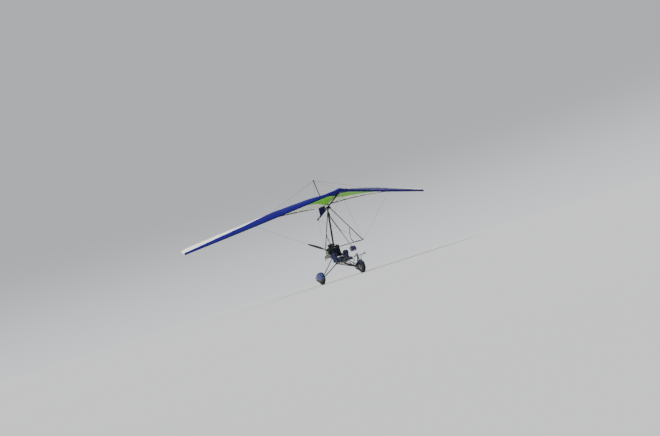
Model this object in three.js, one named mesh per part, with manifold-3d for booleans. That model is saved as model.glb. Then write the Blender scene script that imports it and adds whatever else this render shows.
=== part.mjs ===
// Two-seat weight-shift ultralight aircraft: a flexible delta wing hung above a three-wheeled
// frame with tandem seats and a pusher engine. Millimetres, +X to the aircraft's left,
// -Y forward, +Z up, ground at z = 0.
import * as THREE from "three";
import { mergeVertices } from "three/addons/utils/BufferGeometryUtils.js";
import Module from "manifold-3d";

const wasm = await Module();
wasm.setup();

// Driving dimensions of the wing, in the wing's own frame: the keel tube lies on y, z = 0.
const halfSpan = 5000;
const noseY = -1429;
const sweep = THREE.MathUtils.degToRad(28.5);
const rootChord = 2420;
const tipChord = 664;
const rootTwist = THREE.MathUtils.degToRad(8.5);
const tipTwist = THREE.MathUtils.degToRad(31);
const noseHeight = 33;
const tipRise = 80;
const leadingEdgeRadius = { root: 46, tip: 34 };
const sailSkin = 6;
const keelRadius = 25;
const keelFrontY = -1385;
const keelRearY = 1062;
const wingPitch = THREE.MathUtils.degToRad(12.35);

// Driving dimensions of the frame on the ground.
const hangHeight = 2530;
const hangBoltDrop = 70;
const mastRadius = 30;
const strutRadius = 20;
const baseTubeRadius = 25;
const railRadius = 12;
const wheelRadius = 200;
const wheelWidth = 100;
const halfTrack = 821;
const mainAxleY = 422;
const noseAxleY = -1170;
const propellerRadius = 800;
const propellerRest = THREE.MathUtils.degToRad(30);
// Distance from the hang point back to the middle of the aircraft's length.
const middleY = 239.2;
// Gap left between pieces that rest on each other.
const seat = 0.3;

const v = (x, y, z) => new THREE.Vector3(x, y, z);
const hangPoint = v(0, 0, hangHeight);
const bolt = v(0, 0, -hangBoltDrop).applyEuler(new THREE.Euler(-wingPitch, 0, 0)).add(hangPoint);
const mastFoot = v(0, 620, 550);
const mastDirection = mastFoot.clone().sub(bolt).normalize();
const mastAt = (z) => bolt.clone().addScaledVector(mastDirection, (z - bolt.z) / mastDirection.z);
const baseFront = v(0, -930, 258);
const baseRear = v(0, 590, 664);
const headBottom = v(0, -1155, 460);
const headTop = v(0, -1125, 665);
const strutTop = mastAt(2295);
const strutFoot = v(0, -1132, 672);
const noseAxle = v(0, noseAxleY, wheelRadius);
const propellerHub = v(0, 971, 1144);

// Turns a three.js geometry into a solid that can be joined and cut.
function solid(geometry) {
  const plain = geometry.index ? geometry.toNonIndexed() : geometry.clone();
  plain.deleteAttribute("normal");
  plain.deleteAttribute("uv");
  const merged = mergeVertices(plain, 1e-3);
  return new wasm.Manifold(
    new wasm.Mesh({
      numProp: 3,
      vertProperties: new Float32Array(merged.attributes.position.array),
      triVerts: new Uint32Array(merged.index.array),
    }),
  );
}

// Turns a solid back into a geometry with flat normals.
function geometryOf(body) {
  const mesh = body.getMesh();
  const geometry = new THREE.BufferGeometry();
  geometry.setAttribute("position", new THREE.BufferAttribute(mesh.vertProperties, 3));
  geometry.setIndex(new THREE.BufferAttribute(mesh.triVerts, 1));
  const flat = geometry.toNonIndexed();
  flat.computeVertexNormals();
  return flat;
}

// A copy of a solid moved, turned or mirrored by a matrix.
function placed(body, matrix) {
  const mesh = body.getMesh();
  const geometry = new THREE.BufferGeometry();
  geometry.setAttribute("position", new THREE.BufferAttribute(mesh.vertProperties.slice(), 3));
  geometry.setIndex([...mesh.triVerts]);
  geometry.applyMatrix4(matrix);
  return solid(matrix.determinant() < 0 ? flipped(geometry) : geometry);
}
const mirrored = (body) => placed(body, new THREE.Matrix4().makeScale(-1, 1, 1));

const fuse = (...bodies) => bodies.reduce((sum, body) => sum.add(body));
const cut = (body, ...cutters) => cutters.reduce((rest, cutter) => rest.subtract(cutter), body);

// A round bar between two points.
function bar(a, b, radius, sides = 12) {
  const length = a.distanceTo(b);
  const geometry = new THREE.CylinderGeometry(radius, radius, length, sides);
  geometry.applyQuaternion(
    new THREE.Quaternion().setFromUnitVectors(v(0, 1, 0), b.clone().sub(a).normalize()),
  );
  geometry.translate(...a.clone().add(b).multiplyScalar(0.5).toArray());
  return solid(geometry);
}

// A round bar bent smoothly through a few points.
function bentBar(points, radius, steps = 24, sides = 8) {
  const outline = new THREE.Shape();
  outline.absarc(0, 0, radius, 0, 2 * Math.PI);
  const path = new THREE.CatmullRomCurve3(points, false, "centripetal");
  return solid(
    new THREE.ExtrudeGeometry(outline, {
      extrudePath: path, steps, curveSegments: sides / 2, bevelEnabled: false,
    }),
  );
}

// A rectangular block, turned about the x axis by tilt.
function block(centre, size, tilt = 0) {
  const geometry = new THREE.BoxGeometry(...size);
  geometry.rotateX(tilt);
  geometry.translate(...centre.toArray());
  return solid(geometry);
}

// A flat plate in the y-z plane, given by its outline and centred on x.
function sidePlate(outline, thickness, x = 0) {
  const shape = new THREE.Shape(outline.map(([y, z]) => new THREE.Vector2(y, z)));
  const settings = { depth: thickness, bevelEnabled: false, curveSegments: 12 };
  const geometry = new THREE.ExtrudeGeometry(shape, settings);
  geometry.translate(0, 0, -thickness / 2);
  geometry.applyMatrix4(new THREE.Matrix4().makeBasis(v(0, 1, 0), v(0, 0, 1), v(1, 0, 0)));
  geometry.translate(x, 0, 0);
  return solid(geometry);
}

// A body of revolution about the x axis; the profile is a list of [radius, x].
function turned(profile, centre, sides = 28) {
  const points = profile.map(([radius, x]) => new THREE.Vector2(radius, x));
  const geometry = new THREE.LatheGeometry(points, sides);
  geometry.rotateZ(-Math.PI / 2);
  geometry.translate(...centre.toArray());
  const body = solid(geometry);
  return body.volume() < 0 ? solid(flipped(geometry)) : body;
}

// The same geometry with its faces turned round.
function flipped(geometry) {
  const index = geometry.index.array.slice();
  for (let i = 0; i < index.length; i += 3) {
    [index[i], index[i + 1]] = [index[i + 1], index[i]];
  }
  const turnedRound = geometry.clone();
  turnedRound.setIndex([...index]);
  return turnedRound;
}

// A closed body through a row of sections that all have the same number of points.
function loft(sections) {
  const count = sections[0].length;
  const positions = sections.flat().flatMap((p) => p.toArray());
  const index = [];
  for (let s = 0; s + 1 < sections.length; s += 1) {
    for (let i = 0; i < count; i += 1) {
      const a = s * count + i;
      const b = s * count + ((i + 1) % count);
      index.push(a, b, a + count, b, b + count, a + count);
    }
  }
  for (const [s, outward] of [[0, false], [sections.length - 1, true]]) {
    const normal = faceNormal(sections[s]);
    const flat = flattened(sections[s], normal);
    for (const [i, j, k] of THREE.ShapeUtils.triangulateShape(flat, [])) {
      const corner = [i, j, k].map((n) => s * count + n);
      index.push(...(outward ? corner : corner.reverse()));
    }
  }
  const geometry = new THREE.BufferGeometry();
  geometry.setAttribute("position", new THREE.Float32BufferAttribute(positions, 3));
  geometry.setIndex(index);
  const body = solid(geometry);
  return body.volume() < 0 ? solid(flipped(geometry)) : body;
}

// The unit normal of a closed ring of points, by summing its edges.
function faceNormal(ring) {
  const normal = v(0, 0, 0);
  ring.forEach((p, i) => normal.add(p.clone().cross(ring[(i + 1) % ring.length])));
  return normal.normalize();
}

// The ring's points in a plane across its normal, running anticlockwise.
function flattened(ring, normal) {
  const across = Math.abs(normal.x) > 0.9 ? v(0, 1, 0) : v(1, 0, 0);
  const u = across.clone().addScaledVector(normal, -across.dot(normal)).normalize();
  const w = normal.clone().cross(u);
  return ring.map((p) => new THREE.Vector2(p.dot(u), p.dot(w)));
}

const aircraft = new THREE.Group();
const frame = new THREE.Group();
const wing = new THREE.Group();
aircraft.add(frame);
frame.add(wing);
frame.position.y = -middleY;
wing.position.copy(hangPoint);
wing.rotation.x = -wingPitch;

const paints = {
  sail: { color: 0xe8e6dc, roughness: 0.7, metalness: 0 },
  navy: { color: 0x16225c, roughness: 0.6, metalness: 0 },
  blue: { color: 0x1f3fa8, roughness: 0.3, metalness: 0.1 },
  darkTube: { color: 0x1d1f24, roughness: 0.4, metalness: 0.6 },
  greyTube: { color: 0xb9bdc2, roughness: 0.35, metalness: 0.7 },
  cable: { color: 0x8a8d90, roughness: 0.4, metalness: 0.8 },
  steel: { color: 0xa7abb0, roughness: 0.35, metalness: 0.9 },
  engine: { color: 0x2b2222, roughness: 0.6, metalness: 0.5 },
  exhaust: { color: 0xb0aca4, roughness: 0.4, metalness: 0.8 },
  tyre: { color: 0x17171a, roughness: 0.9, metalness: 0 },
  wood: { color: 0x2a2624, roughness: 0.4, metalness: 0 },
  cushion: { color: 0x1a1f38, roughness: 0.9, metalness: 0 },
};

// Adds a named piece to a group.
function piece(group, name, paint, body) {
  const mesh = new THREE.Mesh(geometryOf(body), new THREE.MeshStandardMaterial(paints[paint]));
  mesh.name = name;
  group.add(mesh);
}

const sides = [["left", 1], ["right", -1]];

// Wing shape. A station is a fraction of the half span; each row gives the camber as a fraction
// of the chord and the depth of the fabric below the rear of the double surface.
const cambers = [
  { at: 0, camber: -0.03, belly: 90 },
  { at: 0.05, camber: 0.02, belly: 40 },
  { at: 0.15, camber: 0.065, belly: 6 },
  { at: 0.4, camber: 0.09, belly: 0 },
  { at: 0.75, camber: 0.075, belly: 0 },
  { at: 1, camber: 0.05, belly: 0 },
];
const doubleSurfaceEnd = 0.5;
const camberPeak = 0.32;

function mix(at, key) {
  const upper = cambers.findIndex((row) => row.at >= at);
  if (upper <= 0) return cambers[0][key];
  const [low, high] = [cambers[upper - 1], cambers[upper]];
  return THREE.MathUtils.mapLinear(at, low.at, high.at, low[key], high[key]);
}

const lerp = THREE.MathUtils.lerp;
const leadingEdge = (at) => v(
  at * halfSpan,
  noseY + at * halfSpan * Math.tan(sweep),
  noseHeight + tipRise * at * at,
);
const chordAt = (at) => lerp(rootChord, tipChord, at) * (at > 0.96 ? 1 - 6 * (at - 0.96) : 1);

// Height of the mean line as a share of its peak.
function meanLine(u) {
  if (u < camberPeak) return (2 * camberPeak * u - u * u) / camberPeak ** 2;
  return (1 - 2 * camberPeak + 2 * camberPeak * u - u * u) / (1 - camberPeak) ** 2;
}

// A point of the wing at a station, from its place [along, up] in the chord's own frame.
function chordPoint(at, along, up, side = 1) {
  const twist = lerp(rootTwist, tipTwist, at);
  const point = leadingEdge(at);
  point.y += along * Math.cos(twist) - up * Math.sin(twist);
  point.z += along * Math.sin(twist) + up * Math.cos(twist);
  point.x *= side;
  return point;
}

function upperHeight(at, u) {
  const radius = lerp(leadingEdgeRadius.root, leadingEdgeRadius.tip, at);
  return mix(at, "camber") * chordAt(at) * meanLine(u) + radius * (1 - u) ** 1.5;
}

function lowerHeight(at, u) {
  const radius = lerp(leadingEdgeRadius.root, leadingEdgeRadius.tip, at);
  const front = radius / chordAt(at);
  const depth = (w) => upperHeight(at, w) - sailSkin - (mix(at, "belly") * (1 - w)) / (1 - doubleSurfaceEnd);
  if (u >= doubleSurfaceEnd) return depth(u);
  const share = (u - front) / (doubleSurfaceEnd - front);
  return lerp(-radius, depth(doubleSurfaceEnd), share);
}

// One section of the wing, from the trailing edge forward below and back above.
function wingSection(at) {
  const chord = chordAt(at);
  const radius = lerp(leadingEdgeRadius.root, leadingEdgeRadius.tip, at);
  const ring = [];
  for (const u of [1, 0.85, 0.67, doubleSurfaceEnd, 0.25]) {
    ring.push(chordPoint(at, u * chord, lowerHeight(at, u)));
  }
  for (let turn = -90; turn >= -270; turn -= 36) {
    const angle = THREE.MathUtils.degToRad(turn);
    ring.push(chordPoint(at, radius * (1 + Math.cos(angle)), radius * Math.sin(angle)));
  }
  for (const u of [0.08, 0.18, 0.32, 0.5, 0.67, 0.85, 1]) {
    ring.push(chordPoint(at, u * chord, upperHeight(at, u)));
  }
  return ring;
}

const stations = [0, 0.05, 0.15, 0.28, 0.42, 0.548, 0.66, 0.77, 0.87, 0.95, 0.985, 1];
const junction = 0.548;
function acrossSpan(ringAt) {
  const half = loft(stations.map(ringAt));
  return fuse(half, mirrored(half));
}
const wholeWing = acrossSpan(wingSection);

// The space above the wing's lower surface, or below its upper one: cutters for what ends there.
const lowerCount = 8;
const curtainDepth = 700;
function curtain(points, depth) {
  return [...points, ...points.map((p) => p.clone().add(v(0, 0, depth))).reverse()];
}
const lowered = (points) => points.map((p) => p.add(v(0, 0, -seat)));
const lifted = (points) => points.map((p) => p.add(v(0, 0, seat)));
const aboveSail = acrossSpan((at) => curtain(lowered(wingSection(at).slice(0, lowerCount)), curtainDepth));
const belowSail = acrossSpan((at) => curtain(lifted(wingSection(at).slice(lowerCount)), -curtainDepth));

const keelFront = v(0, keelFrontY, 0);
const keelRear = v(0, keelRearY, 0);
const kingPostFoot = v(0, 151, 0);
const kingPostTop = v(0, 151, 1193);
const kingPostRadius = 16;
const wireRadius = 2.5;
const barY = -111;
const barZ = -1496;
const barCorner = 768;
const uprightRadius = 15;
const barRadius = 14;
const apexY = -130;

// Bracket below the keel that the control frame's uprights are pinned to.
const apexBracket = (grow = 0) => block(v(0, apexY, -50), [130 + grow, 60 + grow, 70 + grow]);

// Keel tube with the two collars that hold the hang block, the control frame's bracket, and the
// cross fitting at its end.
function keelTube() {
  const collar = (y) => bar(v(0, y - 4, 0), v(0, y + 4, 0), keelRadius + 8, 20);
  return fuse(
    bar(keelFront, keelRear, keelRadius, 20),
    collar(-50),
    collar(50),
    apexBracket(),
    bar(v(0, keelRearY - 15, -45), v(0, keelRearY - 15, 45), 10, 10),
  );
}

// Envelope that other pieces are cut by where they meet the keel tube.
const keelSeat = bar(keelFront.clone().add(v(0, -200, 0)), keelRear, keelRadius + seat, 20);
const kingPostSeat = bar(kingPostFoot, kingPostTop, kingPostRadius + seat, 12);
const capBottom = v(0, 151, 1165);
const capTop = v(0, 151, 1200);
const capRadius = 26;
const capSeat = bar(capBottom, capTop, capRadius + seat, 12);

// Straight stay between two points, cut back to its fittings.
const stay = (a, b, ...fittings) => cut(bar(a, b, wireRadius, 6), ...fittings);

const noseConeDepth = 230;
const noseConeBlock = block(v(0, noseY - 200 + noseConeDepth / 2, 0), [900, noseConeDepth + 400, 900]);
const rearStayEnd = v(0, keelRearY - 40, 20);
const stayTop = v(0, 151, 1185);
const rearStaySlot = bar(stayTop, rearStayEnd, wireRadius + seat, 6);

function sailHalf(side) {
  const half = block(v(side * (halfSpan / 2 + 50 + seat / 2), 0, 0), [halfSpan + 100, 8000, 4000]);
  const noseSeat = block(
    v(0, noseY - 200 + noseConeDepth / 2 + seat, 0),
    [900, noseConeDepth + 400, 900],
  );
  return cut(wholeWing.intersect(half), noseSeat, keelSeat, kingPostSeat, rearStaySlot);
}

for (const [name, side] of sides) {
  piece(wing, `sail_${name}`, "sail", sailHalf(side));
}
piece(wing, "nose_cone", "navy", cut(wholeWing.intersect(noseConeBlock), keelSeat.intersect(
  block(v(0, 0, 0), [200, 2 * -keelFrontY + 2 * seat, 200]),
)));
piece(wing, "keel_tube", "darkTube", keelTube());

// Fabric pocket that joins the sail's centre line to the keel tube.
function keelPocket() {
  const web = sidePlate([[150, 190], [240, -10], [745, -10], [600, 420]], 8);
  const sleeve = bar(v(0, 225, 0), v(0, 755, 0), keelRadius + 7, 20);
  return cut(fuse(web, sleeve), keelSeat, aboveSail, kingPostSeat);
}
piece(wing, "keel_pocket", "navy", keelPocket());

const kingPost = fuse(
  bar(kingPostFoot, kingPostTop, kingPostRadius, 12),
  bar(capBottom, capTop, capRadius, 12),
);
piece(wing, "king_post", "darkTube", cut(kingPost, keelSeat));

// Control frame: two uprights, and the base bar with its end fittings.
const barPoint = (x) => v(x, barY, barZ);
const baseBar = (grow = 0) => fuse(
  bar(barPoint(-barCorner), barPoint(barCorner), barRadius + grow, 12),
  bar(barPoint(-barCorner - 8), barPoint(-barCorner + 34), 20 + grow, 12),
  bar(barPoint(barCorner + 8), barPoint(barCorner - 34), 20 + grow, 12),
);
piece(wing, "control_base_bar", "darkTube", baseBar());

const uprightTop = (side) => v(side * 45, apexY, -70);
const uprightFoot = (side) => v(side * 750, barY, barZ);
const upright = (side, grow = 0) => bar(uprightTop(side), uprightFoot(side), uprightRadius + grow, 12);
const uprightAt = (side, share) => uprightTop(side).lerp(uprightFoot(side), share);

// Second hand bar behind each upright, for the rear seat.
function trainingBar(side) {
  const points = [
    uprightAt(side, 0.6),
    v(side * 455, -45, -1020),
    v(side * 425, 15, -1180),
    v(side * 405, 5, -1330),
    v(side * 395, -70, -1450),
    v(side * 392, barY, barZ),
  ];
  return cut(bentBar(points, 11, 14), upright(side, seat), baseBar(seat));
}

for (const [name, side] of sides) {
  const corner = v(side * barCorner, barY, barZ);
  const leadingEdgePoint = chordPoint(junction, 60, 0, side);
  const fittings = [baseBar(seat), upright(side, seat)];
  piece(wing, `control_upright_${name}`, "darkTube",
    cut(upright(side), apexBracket(2 * seat), baseBar(seat)));
  piece(wing, `training_bar_${name}`, "darkTube", trainingBar(side));
  piece(wing, `flying_wire_${name}`, "cable",
    stay(corner, leadingEdgePoint, ...fittings, aboveSail));
  piece(wing, `front_wire_${name}`, "cable",
    stay(corner, v(side * 5, noseY + 110, 0), ...fittings, keelSeat, aboveSail));
  piece(wing, `rear_wire_${name}`, "cable",
    stay(corner, v(side * 5, keelRearY - 60, 0), ...fittings, keelSeat));
  piece(wing, `landing_wire_${name}`, "cable",
    stay(stayTop, leadingEdgePoint, capSeat, kingPostSeat, belowSail));
}
piece(wing, "top_wire_front", "cable",
  stay(stayTop, v(0, noseY + 60, 30), capSeat, kingPostSeat, belowSail));
piece(wing, "top_wire_rear", "cable", stay(stayTop, rearStayEnd, capSeat, kingPostSeat, keelSeat));

// Hang block: a sleeve round the keel with two cheeks and the bolt that the mast hangs on.
const boltRadius = 6;
function hangBlock() {
  const sleeve = block(v(0, 0, 4), [76, 90, 74]);
  const cheek = (x) => sidePlate([[-26, -30], [26, -30], [26, -82], [16, -94], [-16, -94], [-26, -82]], 9, x);
  const boreRadius = (keelRadius + 0.5) / Math.cos(Math.PI / 20);
  const bore = bar(v(0, -60, 0), v(0, 60, 0), boreRadius, 20);
  const pin = bar(v(-36, 0, -hangBoltDrop), v(36, 0, -hangBoltDrop), boltRadius, 12);
  return fuse(cut(sleeve, bore), cheek(23.5), cheek(-23.5), pin);
}
piece(wing, "hang_block", "steel", hangBlock());

// Mast with the tongue at its top that the hang bolt passes through.
const tongueWidth = 34;
const mastStart = 48;
function mast() {
  const tilt = Math.atan2(mastDirection.y, -mastDirection.z);
  const tongueCentre = bolt.clone().addScaledVector(mastDirection, 40);
  const tongue = block(tongueCentre, [tongueWidth, 44, 80], tilt);
  const eye = bar(v(-tongueWidth / 2, bolt.y, bolt.z), v(tongueWidth / 2, bolt.y, bolt.z), 22, 16);
  const hole = bar(v(-50, bolt.y, bolt.z), v(50, bolt.y, bolt.z), boltRadius + 0.5, 12);
  const tube = bar(bolt.clone().addScaledVector(mastDirection, mastStart), mastFoot, mastRadius, 16);
  return cut(fuse(tongue, eye, tube), hole);
}
const mastEnd = mastFoot.clone().addScaledVector(mastDirection, 40);
const mastSeat = bar(mastAt(2400), mastEnd, mastRadius + seat, 16);
piece(frame, "mast", "darkTube", mast());

const baseTube = (grow = 0) => bar(baseFront, baseRear, baseTubeRadius + grow, 14);
const headRadius = 26;
const headDirection = headTop.clone().sub(headBottom).normalize();
const headAt = (share) => headBottom.clone().lerp(headTop, share);
const head = (grow = 0) => bar(
  headBottom.clone().addScaledVector(headDirection, -grow),
  headTop.clone().addScaledVector(headDirection, grow),
  headRadius + grow,
  14,
);
const stemRadius = 13;
const headBore = bar(headAt(-0.2), headAt(0.86), stemRadius + 0.5, 12);
const strut = (grow = 0) => bar(strutTop, strutFoot, strutRadius + grow, 14);
piece(frame, "front_strut", "greyTube", cut(strut(), mastSeat, head(seat)));
piece(frame, "base_tube", "darkTube", cut(baseTube(), mastSeat));
const nosePost = bar(v(0, -912, 263), v(0, -1128, 612), 17);
piece(frame, "steering_head", "darkTube", cut(fuse(head(), nosePost), headBore, baseTube(seat)));

// Nose fork: crown, stem, two legs, the axle and the foot rests, all one weldment.
const forkX = 76;
const forkLegRadius = 12;
const crownY = -1160;
const crownZ = 440;
const footRest = { y: -1300, z: 600, inner: 120, outer: 228, end: 235 };
function noseFork() {
  const onAxle = (x) => v(x, noseAxleY, wheelRadius);
  const onRest = (x) => v(x, footRest.y, footRest.z);
  const crown = block(v(0, crownY, crownZ), [2 * forkX + 24, 52, 26], -Math.atan2(30, 205));
  const stem = bar(v(0, crownY + 3, crownZ + 6), headAt(0.83), stemRadius, 12);
  const leg = (side) => bar(v(side * forkX, crownY, crownZ), onAxle(side * forkX), forkLegRadius, 10);
  const dropout = (side) => bar(onAxle(side * (forkX - 10)), onAxle(side * (forkX + 14)), 18, 12);
  const axle = bar(onAxle(-forkX - 12), onAxle(forkX + 12), 10, 12);
  const pegs = bar(onRest(-footRest.end), onRest(footRest.end), 13, 12);
  const arm = (side) => bar(v(side * 62, crownY, crownZ + 6), onRest(side * 62), 11, 10);
  const grip = (side) => bar(onRest(side * footRest.inner), onRest(side * footRest.outer), 19, 12);
  const pairs = [leg, dropout, arm, grip].flatMap((make) => [make(1), make(-1)]);
  return fuse(crown, stem, axle, pegs, ...pairs);
}
piece(frame, "nose_fork", "greyTube", noseFork());

// Mudguard: a curved strip over the nose wheel, between the fork legs.
function mudguard() {
  const arc = (radius, from, to) => {
    const points = [];
    for (let step = 0; step <= 14; step += 1) {
      const angle = THREE.MathUtils.degToRad(lerp(from, to, step / 14));
      points.push([noseAxleY + radius * Math.cos(angle), wheelRadius + radius * Math.sin(angle)]);
    }
    return points;
  };
  const width = 2 * (forkX - forkLegRadius - seat);
  return sidePlate([...arc(wheelRadius + 17, 28, 148), ...arc(wheelRadius + 12, 148, 28)], width);
}
piece(frame, "nose_mudguard", "blue", mudguard());

// Wheels: a tyre and a rim that turns on its axle.
const rimRadius = 98;
function tyre(centre) {
  const half = wheelWidth / 2;
  const inner = rimRadius + seat;
  return turned([
    [inner, -34], [inner + 22, -44], [wheelRadius - 38, -half], [wheelRadius - 14, -half + 8],
    [wheelRadius - 2, -22], [wheelRadius, 0], [wheelRadius - 2, 22], [wheelRadius - 14, half - 8],
    [wheelRadius - 38, half], [inner + 22, 44], [inner, 34], [inner, -34],
  ], centre);
}
function rim(centre, boreRadius) {
  return turned([
    [boreRadius, -40], [30, -40], [34, -14], [66, -10], [76, -34], [rimRadius, -38], [rimRadius, 38],
    [76, 34], [66, 10], [34, 14], [30, 40], [boreRadius, 40], [boreRadius, -40],
  ], centre);
}
piece(frame, "nose_tyre", "tyre", tyre(noseAxle));
piece(frame, "nose_rim", "steel", rim(noseAxle, 10.6));

// Main landing gear on each side.
const axleRadius = 12;
const knuckleX = 733;
const legTop = (side) => v(side * 20, 612, 566);
const strutHead = (side) => v(side * 10, mastAt(945).y, 945);
const onMainAxle = (x) => v(x, mainAxleY, wheelRadius);
const knuckle = (side, grow = 0) => fuse(
  block(v(side * knuckleX, mainAxleY, 238), [34 + grow, 64 + grow, 110 + grow]),
  bar(onMainAxle(side * knuckleX), onMainAxle(side * (halfTrack + 57)), axleRadius + grow, 14),
);

// Section of a wheel spat: half width and the heights of its top and bottom at y.
const spatRows = [
  { y: 165, half: 22, top: 285, bottom: 195 },
  { y: 182, half: 46, top: 335, bottom: 140 },
  { y: 220, half: 62, top: 383, bottom: 108 },
  { y: 290, half: 69, top: 425, bottom: 96 },
  { y: 380, half: 70, top: 446, bottom: 92 },
  { y: 480, half: 70, top: 448, bottom: 92 },
  { y: 580, half: 67, top: 430, bottom: 98 },
  { y: 680, half: 56, top: 395, bottom: 125 },
  { y: 780, half: 40, top: 352, bottom: 162 },
  { y: 870, half: 22, top: 312, bottom: 204 },
  { y: 915, half: 8, top: 290, bottom: 236 },
];

const wellRadius = wheelRadius + 6;
const wellHalfWidth = wheelWidth / 2 + 6;

function spat(side) {
  const rings = spatRows.map((row) => {
    const ring = [];
    const middle = (row.top + row.bottom) / 2;
    for (let step = 0; step < 16; step += 1) {
      const angle = (step / 16) * 2 * Math.PI;
      const rounded = (c) => Math.sign(c) * Math.sqrt(Math.abs(c));
      ring.push(v(
        side * halfTrack + row.half * rounded(Math.cos(angle)),
        row.y,
        middle + ((row.top - row.bottom) / 2) * rounded(Math.sin(angle)),
      ));
    }
    return ring;
  });
  const centreX = side * halfTrack;
  const well = fuse(
    bar(onMainAxle(centreX - wellHalfWidth), onMainAxle(centreX + wellHalfWidth), wellRadius, 32),
    block(v(centreX, mainAxleY, 60), [2 * wellHalfWidth, 2 * wellRadius, 280]),
  );
  return cut(loft(rings), well, knuckle(side, seat));
}

for (const [name, side] of sides) {
  const centre = onMainAxle(side * halfTrack);
  const leg = bar(legTop(side), v(side * knuckleX, mainAxleY, 222), 17, 12);
  const strutTube = bar(strutHead(side), v(side * knuckleX, mainAxleY, 268), 15, 12);
  piece(frame, `main_tyre_${name}`, "tyre", tyre(centre));
  piece(frame, `main_rim_${name}`, "steel", rim(centre, axleRadius + 0.6));
  piece(frame, `wheel_spat_${name}`, "blue", spat(side));
  piece(frame, `main_leg_${name}`, "darkTube", cut(fuse(leg, knuckle(side)), mastSeat));
  piece(frame, `main_strut_${name}`, "darkTube", cut(strutTube, mastSeat, knuckle(side, 2 * seat)));
}

// Seat rails from the mast to the base tube, the back hoop, and the two seats.
const railX = 165;
const railPoints = (side) => [
  v(0, 577, 676), v(side * 60, 540, 672), v(side * 150, 470, 662), v(side * railX, 380, 650),
  v(side * railX, -100, 590), v(side * railX, -440, 548), v(side * 140, -540, 520),
  v(side * 60, -600, 420), v(0, -640, 335),
];
const rail = (side, grow = 0) => bentBar(railPoints(side), railRadius + grow, 30);
const hoopPoints = [
  v(railX, 335, 646), v(railX - 5, 338, 800), v(railX - 12, 344, 1100), v(110, 347, 1215), v(0, 348, 1245),
  v(-110, 347, 1215), v(-railX + 12, 344, 1100), v(-railX + 5, 338, 800), v(-railX, 335, 646),
];
const hoop = (grow = 0) => bentBar(hoopPoints, 10 + grow, 28);
for (const [name, side] of sides) {
  piece(frame, `seat_rail_${name}`, "darkTube",
    cut(rail(side), mastSeat, baseTube(seat)));
}
const railSeats = [rail(1, seat), rail(-1, seat)];
piece(frame, "seat_hoop", "darkTube", cut(hoop(), mastSeat, ...railSeats));

// A seat pad: a block with softened corners in the x-y, y-z and x-z planes.
function pad(centre, [width, depth, height], tilt) {
  const corner = Math.min(24, Math.min(width, depth, height) / 5);
  const rings = [];
  const shoulder = 0.5 - corner / height;
  for (const [share, inset] of [[-0.5, corner], [-shoulder, 0], [shoulder, 0], [0.5, corner]]) {
    const [w, d] = [width / 2 - inset, depth / 2 - inset];
    const ring = [];
    for (const [sx, sy] of [[1, -1], [1, 1], [-1, 1], [-1, -1]]) {
      const first = v(sx * w, sy * (d - corner), share * height);
      const second = v(sx * (w - corner), sy * d, share * height);
      ring.push(...(sx * sy > 0 ? [first, second] : [second, first]));
    }
    rings.push(ring.map((p) => p.applyEuler(new THREE.Euler(tilt, 0, 0)).add(centre)));
  }
  return loft(rings);
}
const railTilt = Math.atan2(60, 480);
const rearCushion = pad(v(0, 125, 684), [350, 345, 120], railTilt);
piece(frame, "seat_rear_cushion", "cushion", cut(rearCushion, ...railSeats));
piece(frame, "seat_rear_back", "cushion",
  cut(pad(v(0, 306, 1002), [350, 60, 450], -0.02), hoop(seat), mastSeat));
piece(frame, "seat_front_cushion", "cushion",
  cut(pad(v(0, -300, 616), [350, 360, 90], railTilt), ...railSeats));
piece(frame, "seat_front_back", "cushion",
  cut(pad(v(0, -75.6, 683), [340, 52, 170], railTilt), ...railSeats));

// Fuel tank below the rear seat, over the base tube.
piece(frame, "fuel_tank", "navy",
  cut(pad(v(0, 130, 574), [300, 330, 88], railTilt), baseTube(seat), ...railSeats));

// Fabric panniers at the sides of the rear seat, hung on the rails.
for (const [name, side] of sides) {
  piece(frame, `pannier_${name}`, "navy",
    cut(pad(v(side * 222.3, 120, 765), [90, 290, 350], railTilt), ...railSeats));
}

// Instrument pod on the front strut.
const strutTilt = Math.atan2(strutTop.y - strutFoot.y, strutTop.z - strutFoot.z);
piece(frame, "instrument_pod", "blue",
  cut(pad(v(0, -975, 878), [210, 110, 150], -strutTilt), strut(seat)));

// Engine bearer: two plates that clasp the mast, with a deck.
function engineMount() {
  const plate = (x) => sidePlate([[470, 862], [870, 862], [870, 836], [640, 700], [545, 700]], 8, x);
  const deck = cut(block(v(0, 690, 866), [190, 370, 10]), mastSeat);
  return fuse(plate(mastRadius + 5), plate(-mastRadius - 5), deck);
}
piece(frame, "engine_mount", "steel", cut(engineMount(), mastSeat, baseTube(seat)));

// Engine: crankcase, two finned cylinders, reduction gearbox.
const crankcase = () => fuse(
  block(v(0, 674, 971.5), [210, 252, 200]),
  bar(v(0, 560, 985), v(0, 538, 985), 74, 20),
);
const cylinderYs = [608, 736];
const finCount = 7;
const finPitch = 26;
const lowestFinZ = 1102;
function engine() {
  const parts = [crankcase(), block(v(0, 672, 1076), [150, 248, 16])];
  for (const y of cylinderYs) {
    parts.push(block(v(0, y, 1190), [84, 84, 236]));
    for (let fin = 0; fin < finCount; fin += 1) {
      parts.push(block(v(0, y, lowestFinZ + finPitch * fin), [136, 118, 8]));
    }
    parts.push(block(v(0, y, 1296), [120, 110, 30]));
    parts.push(bar(v(0, y, 1310), v(0, y, 1345), 11, 8));
  }
  return fuse(...parts);
}
piece(frame, "engine", "engine", engine());

const gearbox = () => fuse(
  bar(v(0, 800.5, 975), v(0, 890, 975), 80, 20),
  bar(v(0, 800.5, propellerHub.z), v(0, 900, propellerHub.z), 62, 20),
  block(v(0, 845, 1060), [120, 89, 170]),
);
piece(frame, "gearbox", "steel", gearbox());

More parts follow.
